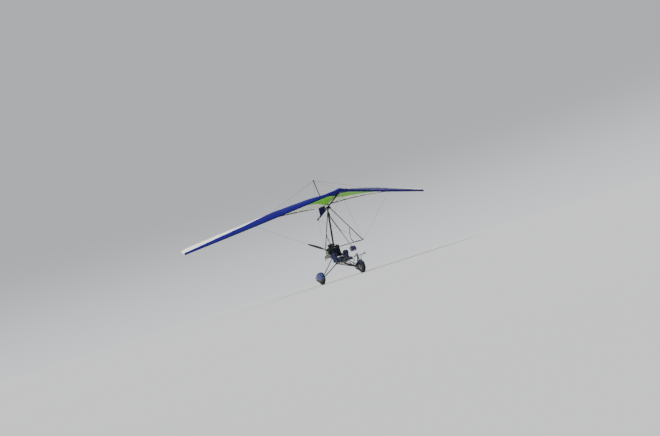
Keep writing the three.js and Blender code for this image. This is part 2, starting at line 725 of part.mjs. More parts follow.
// Carburettors and air filters on the left, exhaust on the right.
function intake() {
  const parts = [];
  for (const y of cylinderYs) {
    parts.push(bar(v(47, y, 1125), v(150, y, 1130), 20, 12));
    parts.push(bar(v(110, y, 1127), v(160, y, 1130), 30, 12));
    parts.push(bar(v(155, y, 1130), v(250, y, 1135), 44, 16));
  }
  parts.push(block(v(135, 672, 1128), [24, 110, 16]));
  return fuse(...parts);
}
const cylinderSeat = block(v(0, 672, 1190), [136 + 2 * seat, 400, 236]);
piece(frame, "intake", "steel", cut(intake(), cylinderSeat));

const mufflerAxis = (y) => v(-236, y, 900);
function exhaust() {
  const can = fuse(
    bar(mufflerAxis(420), mufflerAxis(800), 64, 20),
    bar(mufflerAxis(380), mufflerAxis(840), 40, 16),
  );
  const runner = (y) => bentBar([
    v(-40, y, 1150), v(-110, y, 1140), v(-190, y - 20, 1080), v(-232, y - 60, 940),
  ], 20, 7);
  const tail = bentBar([mufflerAxis(820), v(-240, 850, 880), v(-245, 862, 830), v(-250, 866, 780)], 17, 6);
  return cut(fuse(can, ...cylinderYs.map(runner), tail), cylinderSeat);
}
piece(frame, "exhaust", "exhaust", exhaust());

// Propeller: a hub with a flange and two twisted blades. Each row of the table is one section.
const bladeRows = [
  { at: 40, chord: 70, thick: 34, pitch: 58 },
  { at: 130, chord: 78, thick: 26, pitch: 46 },
  { at: 280, chord: 104, thick: 17, pitch: 31 },
  { at: 450, chord: 98, thick: 12, pitch: 22 },
  { at: 620, chord: 80, thick: 9, pitch: 17 },
  { at: 750, chord: 58, thick: 7, pitch: 14 },
  { at: propellerRadius, chord: 26, thick: 4, pitch: 13 },
];
// Corners of a blade section: shares of the chord and of the thickness.
const bladeOutline = [
  [-0.5, 0], [-0.3, 0.42], [0.05, 0.5], [0.5, 0.05], [0.5, -0.1], [0, -0.35], [-0.35, -0.3],
];
function blade(turn) {
  const rings = bladeRows.map((row) => {
    const pitch = THREE.MathUtils.degToRad(row.pitch);
    return bladeOutline.map(([along, up]) => {
      const point = v(row.at, up * row.thick, along * row.chord);
      point.applyEuler(new THREE.Euler(pitch, 0, 0));
      point.applyEuler(new THREE.Euler(0, turn, 0));
      return point.add(propellerHub);
    });
  });
  return loft(rings);
}
function propeller() {
  const hubDisc = (from, to, radius, corners) => bar(
    propellerHub.clone().add(v(0, from, 0)),
    propellerHub.clone().add(v(0, to, 0)),
    radius,
    corners,
  );
  const hub = fuse(hubDisc(-28, 28, 58, 20), hubDisc(-70.5, -20, 40, 16), hubDisc(20, 44, 36, 16));
  const angle = Math.PI + propellerRest;
  return fuse(hub, blade(angle), blade(angle + Math.PI));
}
piece(frame, "propeller", "wood", propeller());

export default aircraft;
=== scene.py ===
"""Looks of a two-seat weight-shift ultralight aircraft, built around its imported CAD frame.

Metres. Pieces on the wing and the hang block are drawn in the wing's own frame, whose origin is
the hang point and whose y axis is the keel. All others are drawn in the trike's frame, whose
y = 0 is below the hang point. +X is the aircraft's left, -Y forward, +Z up.
"""
import math

import bmesh
import bpy
import numpy as np
from mathutils import Matrix, Vector
from mathutils.bvhtree import BVHTree


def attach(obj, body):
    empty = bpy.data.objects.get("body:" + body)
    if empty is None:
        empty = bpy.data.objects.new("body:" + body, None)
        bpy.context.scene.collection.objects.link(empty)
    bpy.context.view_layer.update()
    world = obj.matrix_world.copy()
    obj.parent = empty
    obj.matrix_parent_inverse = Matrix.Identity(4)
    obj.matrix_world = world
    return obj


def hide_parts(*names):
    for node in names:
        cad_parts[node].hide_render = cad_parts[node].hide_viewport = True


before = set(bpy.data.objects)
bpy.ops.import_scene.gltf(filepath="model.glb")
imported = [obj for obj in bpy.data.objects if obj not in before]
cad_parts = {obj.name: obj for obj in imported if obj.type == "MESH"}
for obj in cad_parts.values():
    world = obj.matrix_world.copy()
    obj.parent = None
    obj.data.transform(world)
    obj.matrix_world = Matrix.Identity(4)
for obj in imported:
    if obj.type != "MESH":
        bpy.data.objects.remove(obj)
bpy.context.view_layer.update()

# Places that the pieces are worked out from.
MIDDLE_Y = 0.2392
HANG_HEIGHT = 2.53
WING_PITCH = math.radians(12.35)
TRIKE_FRAME = Matrix.Translation((0, -MIDDLE_Y, 0))
WING_FRAME = TRIKE_FRAME @ Matrix.Translation((0, 0, HANG_HEIGHT)) @ Matrix.Rotation(-WING_PITCH, 4, "X")
SIDES = (("left", 1), ("right", -1))
X_AXIS, Y_AXIS, Z_AXIS = Vector((1, 0, 0)), Vector((0, 1, 0)), Vector((0, 0, 1))


def vec(x, y, z):
    """A place or a direction from its three numbers."""
    return Vector((x, y, z))


def mirrored(points, side):
    """Points given for the left, or their mirror images for the right."""
    return [(side * x, y, z) for x, y, z in points]


def strap(thin):
    """Outline of a flat band whose half width is 1."""
    return [(1, -thin), (1, thin), (-1, thin), (-1, -thin)]


def circle(sides, start=0.0):
    """Corners of a regular outline of radius 1."""
    turns = [start + math.tau * i / sides for i in range(sides)]
    return [(math.cos(t), math.sin(t)) for t in turns]


def pleated(sides):
    """A round outline whose every second corner lies lower."""
    return [(r * c, r * s) for (c, s), r in zip(circle(sides), [1, 0.93] * (sides // 2))]


def around(turn, axis="X"):
    """Direction at an angle round the x or the y axis."""
    c, s = math.cos(turn), math.sin(turn)
    return vec(0, c, s) if axis == "X" else vec(c, 0, s)


def spokes(count, start=0.0, axis="X"):
    """Even directions round an axis, each with the rotation that carries a block there."""
    turns = [math.tau * k / count + start for k in range(count)]
    return [(around(t, axis), Matrix.Rotation(t if axis == "X" else -t, 4, axis)) for t in turns]


def helix(a, b, radii, steps, turn):
    """Points that wind round the line between two places: one row for each step."""
    a, b = Vector(a), Vector(b)
    along = (b - a).normalized()
    across = along.orthogonal().normalized()
    other = along.cross(across)
    return [[a.lerp(b, step / steps) + r * (math.cos(t) * across + math.sin(t) * other)
             for r, t in ((r, turn * step + math.tau * k / len(radii)) for k, r in enumerate(radii))]
            for step in range(steps + 1)]


def smooth_path(points, steps):
    """A Catmull-Rom curve through the points, with the given number of steps."""
    points = [Vector(p) for p in points]
    ends = [points[0] * 2 - points[1]] + points + [points[-1] * 2 - points[-2]]
    path = []
    for step in range(steps + 1):
        at = step / steps * (len(points) - 1)
        i = min(int(at), len(points) - 2)
        t = at - i
        a, b, c, d = ends[i:i + 4]
        path.append(0.5 * (2 * b + (c - a) * t + (2 * a - 5 * b + 4 * c - d) * t ** 2
                           + (3 * b - a - 3 * c + d) * t ** 3))
    return path


MM = 0.001
BAR_EDGE = 0.0015


class Shape:
    """Points, faces and paint numbers gathered for one piece."""

    def __init__(self):
        self.points, self.faces, self.paints = [], [], []

    def add(self, points, faces, paint=0):
        start = len(self.points)
        self.points += [Vector(p) for p in points]
        self.faces += [[start + i for i in face] for face in faces]
        self.paints += [paint] * len(faces)

    def skin(self, rows, paint=0, closed=True, capped=True):
        """Faces between equal rows of points; closed rows are rings, and their ends get caps."""
        count = len(rows[0])
        faces = []
        for r in range(len(rows) - 1):
            for i in range(count if closed else count - 1):
                j = (i + 1) % count
                faces.append((r * count + i, r * count + j, (r + 1) * count + j, (r + 1) * count + i))
        if closed and capped:
            last = (len(rows) - 1) * count
            faces += [tuple(range(count)), tuple(last + i for i in range(count))]
        self.add([p for row in rows for p in row], faces, paint)

    def sweep(self, path, radius, sides=16, paint=0, outline=None, up=None, closed=False):
        """An outline, round unless given, carried along a path; radius may be a list."""
        path = [Vector(p) for p in path]
        outline = outline or circle(sides)
        radii = radius if isinstance(radius, (list, tuple)) else [radius] * len(path)
        along = (path[1] - path[0]).normalized()
        across = Vector(up).cross(along) if up is not None else along.orthogonal()
        rows = []
        for i, point in enumerate(path):
            before = path[i - 1] if i or closed else path[i]
            after = path[(i + 1) % len(path)] if i + 1 < len(path) or closed else path[i]
            along = (after - before).normalized()
            across = Vector(up).cross(along) if up is not None else across
            across = (across - along * across.dot(along)).normalized()
            normal = along.cross(across)
            rows.append([point + radii[i] * (a * across + b * normal) for a, b in outline])
        if closed:
            rows.append(rows[0])
        self.skin(rows, paint, capped=not closed)

    def bar(self, a, b, radius, sides=28, paint=0):
        """A straight round bar whose ends are slightly rounded."""
        a, b = Vector(a), Vector(b)
        step = (b - a).normalized() * BAR_EDGE
        low = radius - BAR_EDGE
        self.sweep([a, a + step, b - step, b], [low, radius, radius, low], sides, paint)

    def lathe(self, profile, centre, axis=(1, 0, 0), sides=48, paint=0, scale=MM):
        """A turned body; the profile is a list of (radius, place along the axis), in millimetres."""
        axis = Vector(axis).normalized()
        across = axis.orthogonal().normalized()
        other = axis.cross(across)
        rows = [[Vector(centre) + axis * along * scale + max(radius * scale, 1e-5) * (c * across + s * other)
                 for c, s in circle(sides)] for radius, along in profile]
        self.skin(rows, paint, capped=profile[0] != profile[-1])

    def block(self, centre, size, paint=0, corner=0.002, tilt=0.0, segments=2, turn=None):
        """A box with rounded edges, turned about x by tilt or by a whole rotation."""
        work = bmesh.new()
        bmesh.ops.create_cube(work, size=1.0)
        bmesh.ops.scale(work, vec=size, verts=work.verts)
        bmesh.ops.bevel(work, geom=work.edges[:], offset=corner, segments=segments, affect="EDGES",
                        profile=0.6)
        matrix = Matrix.Translation(centre) @ (turn or Matrix.Rotation(tilt, 4, "X"))
        work.verts.index_update()
        faces = [[v.index for v in face.verts] for face in work.faces]
        self.add([matrix @ v.co for v in work.verts], faces, paint)
        work.free()

    def plate(self, outline, thickness, origin=(0, 0, 0), u=(0, 1, 0), w=(0, 0, 1), paint=0):
        """A flat plate in the plane of u and w; its outline is in millimetres."""
        u, w = Vector(u), Vector(w)
        normal = u.cross(w).normalized() * thickness / 2
        flat = [Vector(origin) + u * a * MM + w * b * MM for a, b in outline]
        self.skin([[p - normal for p in flat], [p + normal for p in flat]], paint)

    def ring(self, centre, axis, radius, wire, sides=32, paint=0, wire_sides=10):
        """A round ring of wire."""
        profile = [(radius + wire * c, wire * s) for c, s in circle(wire_sides)]
        self.lathe(profile + profile[:1], centre, axis, sides, paint, scale=1)

    def bolt(self, at, direction, size=0.006, paint=0, length=0.0):
        """A hexagon head on its washer, and a nut on the far side where a length is given."""
        at, out = Vector(at), Vector(direction).normalized()
        washer = [(0, 0), (1.15, 0), (1.15, 0.2), (0, 0.2)]
        head = [(0, 0.2), (0.8, 0.2), (0.95, 0.28), (0.95, 0.75), (0.8, 0.85), (0, 0.85)]
        self.lathe(washer, at, out, 16, paint, size)
        self.lathe(head, at, out, 6, paint, size)
        if length:
            self.bolt(at - out * length, -out, size, paint)

    def band(self, at, way, low, high, radius, sides=36, paint=1):
        """A round bar between two distances along a direction."""
        self.bar(at + way * low, at + way * high, radius, sides, paint)

    def through(self, at, way, radius, size):
        """A bolt right through a tube, with its nut."""
        self.bolt(at + way * radius, way, size, 1, 2 * radius)


def made(name, shape, matrix=Matrix(), paints=()):
    """An object with the shape's mesh: doubled points merged, normals outward."""
    mesh = bpy.data.meshes.new(name)
    mesh.from_pydata(shape.points, [], shape.faces)
    mesh.transform(matrix)
    mesh.polygons.foreach_set("material_index", shape.paints)
    for paint in paints:
        mesh.materials.append(paint)
    work = bmesh.new()
    work.from_mesh(mesh)
    bmesh.ops.remove_doubles(work, verts=work.verts, dist=2e-6)
    bmesh.ops.dissolve_degenerate(work, edges=work.edges, dist=1e-6)
    bmesh.ops.recalc_face_normals(work, faces=work.faces)
    work.to_mesh(mesh)
    work.free()
    obj = bpy.data.objects.new(name, mesh)
    bpy.context.scene.collection.objects.link(obj)
    return obj


def broken_edges(obj, width, degrees):
    """Bevels the edges that are sharper than an angle."""
    edges = obj.modifiers.new("edges", "BEVEL")
    edges.width, edges.segments, edges.limit_method = width, 2, "ANGLE"
    edges.angle_limit = math.radians(degrees)
    return edges


def piece(name, body, shape, paints, replaces=(), smooth=35, bevel=0.0, solid=0.0):
    """Makes one piece of the shape, and sets it on its body."""
    obj = made(name, shape, WING_FRAME if body in ("wing", "hang_block") else TRIKE_FRAME, paints)
    obj.data.shade_smooth()
    obj.data.set_sharp_from_angle(angle=math.radians(smooth))
    if solid:
        thicken = obj.modifiers.new("thickness", "SOLIDIFY")
        thicken.thickness, thicken.offset = solid, -1
    if bevel:
        broken_edges(obj, bevel, 40).harden_normals = True
    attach(obj, body)
    if replaces:
        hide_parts(*replaces)
    return obj


class Paint:
    """A node material: a Principled shader and the textures that feed it."""

    def __init__(self, name, colour, roughness, metallic=0.0, **sockets):
        self.material = bpy.data.materials.new(name)
        self.material.use_nodes = True
        self.tree = self.material.node_tree
        self.shader = self.tree.nodes["Principled BSDF"]
        self.shader.inputs["Base Color"].default_value = (*colour, 1)
        self.shader.inputs["Roughness"].default_value = roughness
        self.shader.inputs["Metallic"].default_value = metallic
        for socket, value in sockets.items():
            self.shader.inputs[socket.replace("_", " ").title().replace("Ior", "IOR")].default_value = value
        self.place = self.node("ShaderNodeTexCoord").outputs["Object"]
        self.normal = None

    def node(self, kind, settings=None, **inputs):
        node = self.tree.nodes.new(kind)
        for key, value in (settings or {}).items():
            setattr(node, key, value)
        for key, value in inputs.items():
            socket = node.inputs[int(key[1:])] if key[0] == "i" and key[1:].isdigit() else node.inputs[key]
            if isinstance(value, bpy.types.NodeSocket):
                self.tree.links.new(value, socket)
            else:
                socket.default_value = value
        return node

    def stretched(self, scale, turn=(0, 0, 0)):
        return self.node("ShaderNodeMapping", Vector=self.place, Scale=scale, Rotation=turn).outputs[0]

    def noise(self, scale, detail=4.0, stretch=None, turn=(0, 0, 0)):
        place = self.stretched(stretch, turn) if stretch else self.place
        inputs = {"Vector": place, "Scale": scale, "Detail": detail, "Roughness": 0.55}
        return self.node("ShaderNodeTexNoise", **inputs).outputs["Fac"]

    def waves(self, scale, direction):
        settings = {"bands_direction": direction}
        return self.node("ShaderNodeTexWave", settings, Vector=self.place, Scale=scale).outputs["Fac"]

    def cells(self, scale):
        return self.node("ShaderNodeTexVoronoi", Vector=self.place, Scale=scale).outputs["Distance"]

    def spread(self, value, low, high, start=0.3, end=0.7):
        node = self.node("ShaderNodeMapRange", Value=value)
        for i, number in enumerate((start, end, low, high)):
            node.inputs[i + 1].default_value = number
        return node.outputs[0]

    def math(self, operation, a, b=0.5):
        return self.node("ShaderNodeMath", {"operation": operation}, i0=a, i1=b).outputs[0]

    def colours(self, value, *stops):
        """Colour by value; each stop is (place, colour)."""
        ramp = self.node("ShaderNodeValToRGB", Fac=value)
        points = ramp.color_ramp.elements
        for i, (at, colour) in enumerate(stops):
            point = points[i] if i < 2 else points.new(at)
            point.position, point.color = at, (*colour, 1)
        self.link(ramp.outputs[0], "Base Color")
        return ramp.outputs[0]

    def over(self, under, top, share):
        """Mixes a second colour over the first by share, and gives the shader the result."""
        node = self.node("ShaderNodeMix", {"data_type": "RGBA"}, i0=share, i6=under)
        node.inputs[7].default_value = (*top, 1)
        self.link(node.outputs[2], "Base Color")
        return node.outputs[2]

    def stain(self, under, top, patches, share, start, end):
        """Mixes a colour over another where the patches are strong."""
        return self.over(under, top, self.spread(patches, 0, share, start, end))

    def link(self, value, socket):
        self.tree.links.new(value, self.shader.inputs[socket])

    def rough(self, value, low, high):
        self.link(self.spread(value, low, high), "Roughness")

    def bump(self, height, distance, strength):
        """Adds one more layer of bump, in metres."""
        inputs = {"Height": height, "Distance": distance, "Strength": strength}
        if self.normal:
            inputs["Normal"] = self.normal
        self.normal = self.node("ShaderNodeBump", **inputs).outputs[0]
        self.link(self.normal, "Normal")

    def edges(self):
        """Share of wear on the outward edges, from the curvature of the surface."""
        pointed = self.node("ShaderNodeNewGeometry").outputs["Pointiness"]
        outward = self.spread(pointed, 0, 1, 0.53, 0.6)
        return self.math("MULTIPLY", outward, self.spread(self.noise(60), 0, 1, 0.45, 0.6))


def mixed(colour, share, other=(0, 0, 0)):
    """A colour moved by a share towards another."""
    return tuple(c + (o - c) * share for c, o in zip(colour, other))


def sailcloth(name, colour, dusty=0.25, sheen=0.15):
    """Woven polyester with a ripstop grid, soft handling creases and faint weathering."""
    paint = Paint(name, colour, 0.6, sheen_weight=sheen, specular_ior_level=0.04)
    stains = paint.noise(1.3, 5)
    paint.colours(stains, (0.3, mixed(colour, dusty * 0.5)), (0.7, mixed(colour, -0.1)))
    paint.rough(paint.noise(9), 0.42, 0.66)
    threads = paint.math("ADD", paint.waves(150, "X"), paint.waves(150, "Y"))
    ripstop = [paint.spread(paint.waves(18, way), 0, 1, 0.93, 1) for way in "XY"]
    grid = paint.math("MAXIMUM", *ripstop)
    paint.bump(threads, 0.0004, 0.35)
    paint.bump(grid, 0.0005, 0.3)
    paint.bump(paint.noise(5, 3, (1, 2.4, 1)), 0.012, 0.35)
    paint.bump(paint.noise(38, 4), 0.0015, 0.3)
    return paint.material


def tube_finish(name, colour, metallic, roughness, wear=(0.3, 0.3, 0.32)):
    """Anodised or painted tube with faint patches, a few fine scratches and dull dust."""
    paint = Paint(name, colour, roughness, metallic, specular_ior_level=0.3)
    base = paint.colours(paint.noise(7, 5), (0.3, mixed(colour, 0.25)), (0.72, mixed(colour, -0.3)))
    scratches = paint.spread(paint.noise(95, 4, (1, 1, 0.06), (0.5, 0.3, 0)), 0, 0.25, 0.68, 0.74)
    base = paint.over(base, wear, scratches)
    dust = mixed(colour, 0.06, (0.5, 0.42, 0.32))
    paint.stain(base, dust, paint.noise(19, 5), 0.35, 0.55, 0.8)
    paint.rough(paint.noise(24, 5), max(roughness - 0.1, 0.05), roughness + 0.14)
    paint.bump(paint.noise(320, 3), 0.0003, 0.2)
    return paint.material


def bare_metal(name, colour, roughness, grain=(1, 1, 14)):
    """Brushed or machined metal with grain, smears and a little tarnish."""
    paint = Paint(name, colour, roughness, 1.0)
    base = paint.colours(paint.noise(12, 6), (0.3, mixed(colour, 0.3)), (0.7, mixed(colour, 0.15, (1, 1, 1))))
    paint.stain(base, (0.25, 0.2, 0.15), paint.noise(31, 6), 0.5, 0.58, 0.75)
    paint.rough(paint.noise(45, 5, grain), max(roughness - 0.12, 0.08), roughness + 0.2)
    paint.bump(paint.noise(160, 4, grain), 0.0004, 0.3)
    return paint.material


def cast_metal(name, colour):
    """Sand-cast metal: a pebbled skin, darker oil stains and rubbed corners."""
    paint = Paint(name, colour, 0.55, 0.85)
    base = paint.colours(paint.noise(9, 6), (0.32, mixed(colour, 0.5)), (0.68, mixed(colour, 0.1, (1, 1, 1))))
    stains = paint.spread(paint.noise(17, 5, (1, 1, 0.35)), 0, 0.65, 0.55, 0.75)
    base = paint.over(base, (0.03, 0.022, 0.015), stains)
    paint.over(base, (0.6, 0.58, 0.55), paint.math("MULTIPLY", paint.edges(), 0.6))
    paint.rough(paint.noise(30, 5), 0.4, 0.75)
    paint.bump(paint.noise(420, 3), 0.0012, 0.35)
    return paint.material


def heated_steel():
    """Exhaust steel: straw and violet heat tints, soot and a rough scale."""
    paint = Paint("exhaust_steel", (0.24, 0.235, 0.23), 0.42, 1.0)
    tint = paint.colours(paint.noise(5, 5), (0.25, (0.12, 0.12, 0.125)), (0.48, (0.27, 0.265, 0.26)),
                         (0.62, (0.33, 0.3, 0.26)), (0.78, (0.19, 0.16, 0.2)))
    paint.stain(tint, (0.07, 0.04, 0.028), paint.noise(48, 6), 0.55, 0.6, 0.72)
    paint.rough(paint.noise(26, 5), 0.28, 0.6)
    paint.bump(paint.noise(190, 5), 0.0008, 0.35)
    return paint.material


def rubber(name, dusty, roughness=0.78):
    """Rubber with mould grain and a dry film of dust in the low places."""
    colour = (0.008, 0.008, 0.009)
    paint = Paint(name, colour, roughness, specular_ior_level=0.2)
    base = paint.colours(paint.noise(14, 5), (0.3, colour), (0.75, mixed(colour, 0.015, (1, 1, 1))))
    paint.stain(base, (0.1, 0.088, 0.072), paint.noise(23, 6), dusty, 0.5, 0.8)
    paint.rough(paint.noise(40), roughness - 0.14, roughness + 0.12)
    paint.bump(paint.noise(500, 2), 0.0006, 0.4)
    return paint.material


def gel_coat(name, colour):
    """Polished moulded shell under a clear coat, with faint ripples, dust and stone chips."""
    paint = Paint(name, colour, 0.32, coat_weight=0.35, coat_roughness=0.08, specular_ior_level=0.35)
    base = paint.colours(paint.noise(2.5, 3), (0.3, mixed(colour, 0.12)), (0.75, mixed(colour, -0.1)))
    chips = paint.spread(paint.cells(90), 1, 0, 0.04, 0.09)
    few = paint.spread(paint.noise(11), 0, 0.8, 0.6, 0.66)
    base = paint.over(base, (0.55, 0.56, 0.6), paint.math("MULTIPLY", chips, few))
    paint.stain(base, (0.3, 0.27, 0.22), paint.noise(30, 6), 0.04, 0.45, 0.75)
    paint.rough(paint.noise(18, 5), 0.2, 0.38)
    paint.bump(paint.noise(7, 2), 0.002, 0.12)
    return paint.material


def cloth(name, colour, thread=320, sheen=0.04):
    """Coarse woven cloth or webbing: crossed threads, fading and a few darker marks."""
    paint = Paint(name, colour, 0.85, sheen_weight=sheen, sheen_roughness=0.4, specular_ior_level=0.3)
    faded = mixed(colour, 0.012, (0.6, 0.6, 0.8))
    base = paint.colours(paint.noise(8, 5), (0.28, mixed(colour, 0.35)), (0.74, faded))
    paint.stain(base, mixed(colour, 0.7), paint.noise(33, 4), 0.4, 0.58, 0.7)
    across = paint.math("MULTIPLY", paint.waves(thread / 6, "X"), paint.waves(thread / 6, "DIAGONAL"))
    paint.rough(paint.noise(60), 0.75, 0.95)
    paint.bump(across, 0.0009, 0.6)
    paint.bump(paint.noise(70, 4), 0.0012, 0.4)
    return paint.material


def moulded_plastic(name, colour, roughness=0.45, **sockets):
    """Moulded plastic with a fine grain, scuffs and a slight unevenness of colour."""
    paint = Paint(name, colour, roughness, **sockets)
    pale = mixed(colour, 0.025, (1, 1, 1))
    base = paint.colours(paint.noise(5, 4), (0.3, mixed(colour, 0.15)), (0.72, pale))
    paint.stain(base, mixed(colour, 0.45), paint.noise(40, 6, (1, 0.3, 1)), 0.35, 0.6, 0.75)
    paint.rough(paint.noise(50, 4), roughness - 0.12, roughness + 0.14)
    paint.bump(paint.noise(380, 3), 0.0004, 0.35)
    return paint.material


def lacquered_wood():
    """Dark lacquered laminated wood: the grain runs along the blades under a clear coat."""
    paint = Paint("propeller_lacquer", (0.022, 0.018, 0.017), 0.42, coat_weight=0.2, coat_roughness=0.25)
    grain = paint.noise(26, 6, (0.4, 3, 3))
    base = paint.colours(grain, (0.3, (0.01, 0.009, 0.009)), (0.72, (0.045, 0.032, 0.026)))
    paint.stain(base, (0.2, 0.17, 0.13), paint.noise(44, 5), 0.3, 0.6, 0.75)
    paint.rough(paint.noise(22, 5), 0.36, 0.52)
    paint.bump(grain, 0.0006, 0.2)
    return paint.material


def engine_black():
    """Matt black heatproof paint over castings, with chipped edges and oily dust."""
    paint = Paint("engine_black", (0.022, 0.018, 0.019), 0.55, 0.4)
    base = paint.colours(paint.noise(11, 6), (0.3, (0.012, 0.009, 0.01)), (0.7, (0.034, 0.026, 0.027)))
    base = paint.stain(base, (0.085, 0.064, 0.05), paint.noise(21, 5), 0.45, 0.55, 0.78)
    paint.over(base, (0.3, 0.29, 0.28), paint.math("MULTIPLY", paint.edges(), 0.22))
    paint.rough(paint.noise(35, 5), 0.4, 0.72)
    paint.bump(paint.noise(360, 3), 0.0007, 0.4)
    return paint.material


def clear_dial():
    """Dark instrument face behind glass, with a faint haze."""
    paint = Paint("dial_glass", (0.01, 0.011, 0.013), 0.12, coat_weight=1.0, coat_roughness=0.03)
    paint.colours(paint.noise(30, 4), (0.3, (0.006, 0.007, 0.009)), (0.7, (0.02, 0.022, 0.026)))
    paint.rough(paint.noise(80), 0.08, 0.2)
    return paint.material


WHITE_SAIL = sailcloth("sail_cream", (0.84, 0.82, 0.72))
BLUE_SAIL = sailcloth("sail_royal_blue", (0.011, 0.006, 0.125), 0.3, 0.0)
GREEN_SAIL = sailcloth("sail_lime", (0.17, 0.55, 0.03), 0.25, 0.05)
NAVY_SAIL = sailcloth("sail_navy", (0.006, 0.004, 0.07), 0.3, 0.0)
# Dark tape: real tape on the keel pocket. On the sail's trailing edge it is a navy hem band, widened so that
# it also paints the shade along the hem and the batten ends.
DARK_TAPE_AND_HEM_SHADE = sailcloth("dark_tape_and_painted_hem_shade", (0.008, 0.009, 0.02), 0.3, 0.0)
DARK_TUBE = tube_finish("tube_black", (0.006, 0.007, 0.01), 0.2, 0.46)
GREY_TUBE = tube_finish("tube_grey", (0.17, 0.18, 0.195), 0.5, 0.46, (0.4, 0.4, 0.4))
STEEL = bare_metal("bolt_steel", (0.36, 0.36, 0.37), 0.38, (1, 1, 1))
CABLE = moulded_plastic("cable_coating", (0.012, 0.012, 0.014), 0.4)
RIM = bare_metal("rim_alloy", (0.06, 0.06, 0.065), 0.5)
GEARBOX = cast_metal("gearbox_casting", (0.36, 0.36, 0.37))
ENGINE = engine_black()
EXHAUST = heated_steel()
TYRE = rubber("tyre_rubber", 0.06)
RUBBER = rubber("black_rubber", 0.2, 0.65)
SHELL = gel_coat("shell_blue", (0.003, 0.011, 0.085))
NAVY_SHELL = gel_coat("shell_navy", (0.003, 0.006, 0.045))
# Black paint for the lower half of each spat: painted shade for the spat's dark underside and wheel opening.
SPAT_LOWER_SHADE_PAINT = moulded_plastic("spat_lower_painted_shade", (0.005, 0.006, 0.012), 0.62)
PROPELLER = lacquered_wood()
SEAT_CLOTH = cloth("seat_cloth", (0.006, 0.008, 0.024))
BAG_CLOTH = cloth("bag_cloth", (0.004, 0.009, 0.062), 420)
PIPING = cloth("light_piping", (0.17, 0.2, 0.28), 700, sheen=0.1)
WEBBING = cloth("webbing", (0.016, 0.016, 0.019), 500, sheen=0.08)
TANK = moulded_plastic("tank_plastic", (0.42, 0.42, 0.37), 0.42, subsurface_weight=0.15)
PLASTIC = moulded_plastic("black_plastic", (0.02, 0.02, 0.022))
RED_PLASTIC = moulded_plastic("red_plastic", (0.45, 0.02, 0.015), 0.35)
DIAL = clear_dial()
MARKS = moulded_plastic("dial_marks", (0.75, 0.75, 0.72), 0.5)

# Wing shape, as the solids have it: a station is a fraction of the half span.
HALF_SPAN = 5.0
NOSE_Y = -1.429
SWEEP = math.radians(28.5)
CHORDS = (2.42, 0.664)
TWISTS = (math.radians(8.5), math.radians(31))
NOSE_HEIGHT = 0.033
TIP_RISE = 0.08
EDGE_RADII = (0.046, 0.034)
SURFACE_END = 0.5
CAMBER_PEAK = 0.32
STATION_ROWS = (0, 0.05, 0.15, 0.4, 0.75, 1)
CAMBER_ROWS = (-0.03, 0.02, 0.065, 0.09, 0.075, 0.05)
BELLY_ROWS = (0.09, 0.04, 0.006, 0, 0, 0)
SKIN = 0.0035
JUNCTION = 0.548
BATTENS = (0.055, 0.13, 0.225, 0.32, 0.415, 0.51, 0.605, 0.7, 0.79, 0.875, 0.945)
BAYS = tuple(zip((0, *BATTENS), (*BATTENS, 1)))


def lerp(pair, share):
    return pair[0] + (pair[1] - pair[0]) * share


def chord_at(at):
    return lerp(CHORDS, at) * (1 - 6 * (at - 0.96) if at > 0.96 else 1)


def mean_line(u):
    """Height of the mean line as a share of its peak."""
    if u < CAMBER_PEAK:
        return (2 * CAMBER_PEAK * u - u * u) / CAMBER_PEAK ** 2
    return (1 - 2 * CAMBER_PEAK + 2 * CAMBER_PEAK * u - u * u) / (1 - CAMBER_PEAK) ** 2


def upper_height(at, u):
    camber = np.interp(at, STATION_ROWS, CAMBER_ROWS)
    return camber * chord_at(at) * mean_line(u) + lerp(EDGE_RADII, at) * max(1 - u, 0) ** 1.5


def lower_height(at, u):
    belly = np.interp(at, STATION_ROWS, BELLY_ROWS)
    front = lerp(EDGE_RADII, at) / chord_at(at)
    depth = lambda w: upper_height(at, w) - SKIN - belly * (1 - w) / (1 - SURFACE_END)
    if u >= SURFACE_END:
        return depth(u)
    return lerp((-lerp(EDGE_RADII, at), depth(SURFACE_END)), (u - front) / (SURFACE_END - front))


def chord_point(at, along, up, side=1):
    """A point of the wing at a station, from its place in the chord's own frame."""
    twist, span = lerp(TWISTS, at), at * HALF_SPAN
    rear = along * math.cos(twist) - up * math.sin(twist)
    rise = along * math.sin(twist) + up * math.cos(twist)
    return vec(side * span, NOSE_Y + span * math.tan(SWEEP) + rear, NOSE_HEIGHT + TIP_RISE * at * at + rise)


def near(value, centre, width):
    """A smooth bump of height 1."""
    return math.exp(-((value - centre) / width) ** 2)


def between_battens(at):
    """0 on a batten, 1 halfway between two."""
    low, high = [bay for bay in BAYS if bay[0] <= at + 1e-9][-1]
    return math.sin(math.pi * (at - low) / (high - low))


# Creases in the leading edge pocket: station, slant towards the tip, and height.
CREASES = [(0.05 + 0.045 * k + 0.012 * math.sin(5.3 * k), 0.03 + 0.012 * math.sin(3.1 * k),
            0.006 * (0.55 + 0.45 * math.sin(2.3 * k + 0.7))) for k in range(20)]


def wrinkle(at, u, upper):
    """Height that the cloth stands out by: batten ridges, billow and diagonal creases."""
    height = 0.0035 * max(near(at, mark, 0.002) for mark in BATTENS) * min(1, u / 0.08)
    if not upper:
        height = -height if u > zone(GREEN_END, at) else 0.0
    billow = 0.012 * between_battens(at) * u * (1.15 - u) * 2
    creases = 0.0
    for start, slant, size in CREASES:
        line = start + slant * (0.22 - u) / 0.22 if upper else start + slant * (1 + u / 0.22)
        creases += size * near(at, line, 0.0042) * near(u, 0.05, 0.14)
    flutter = 0.0025 * math.sin(at * 310) * near(u, 1.0, 0.1) * between_battens(at)
    return height + billow + creases + (flutter if u > 0.7 else 0)


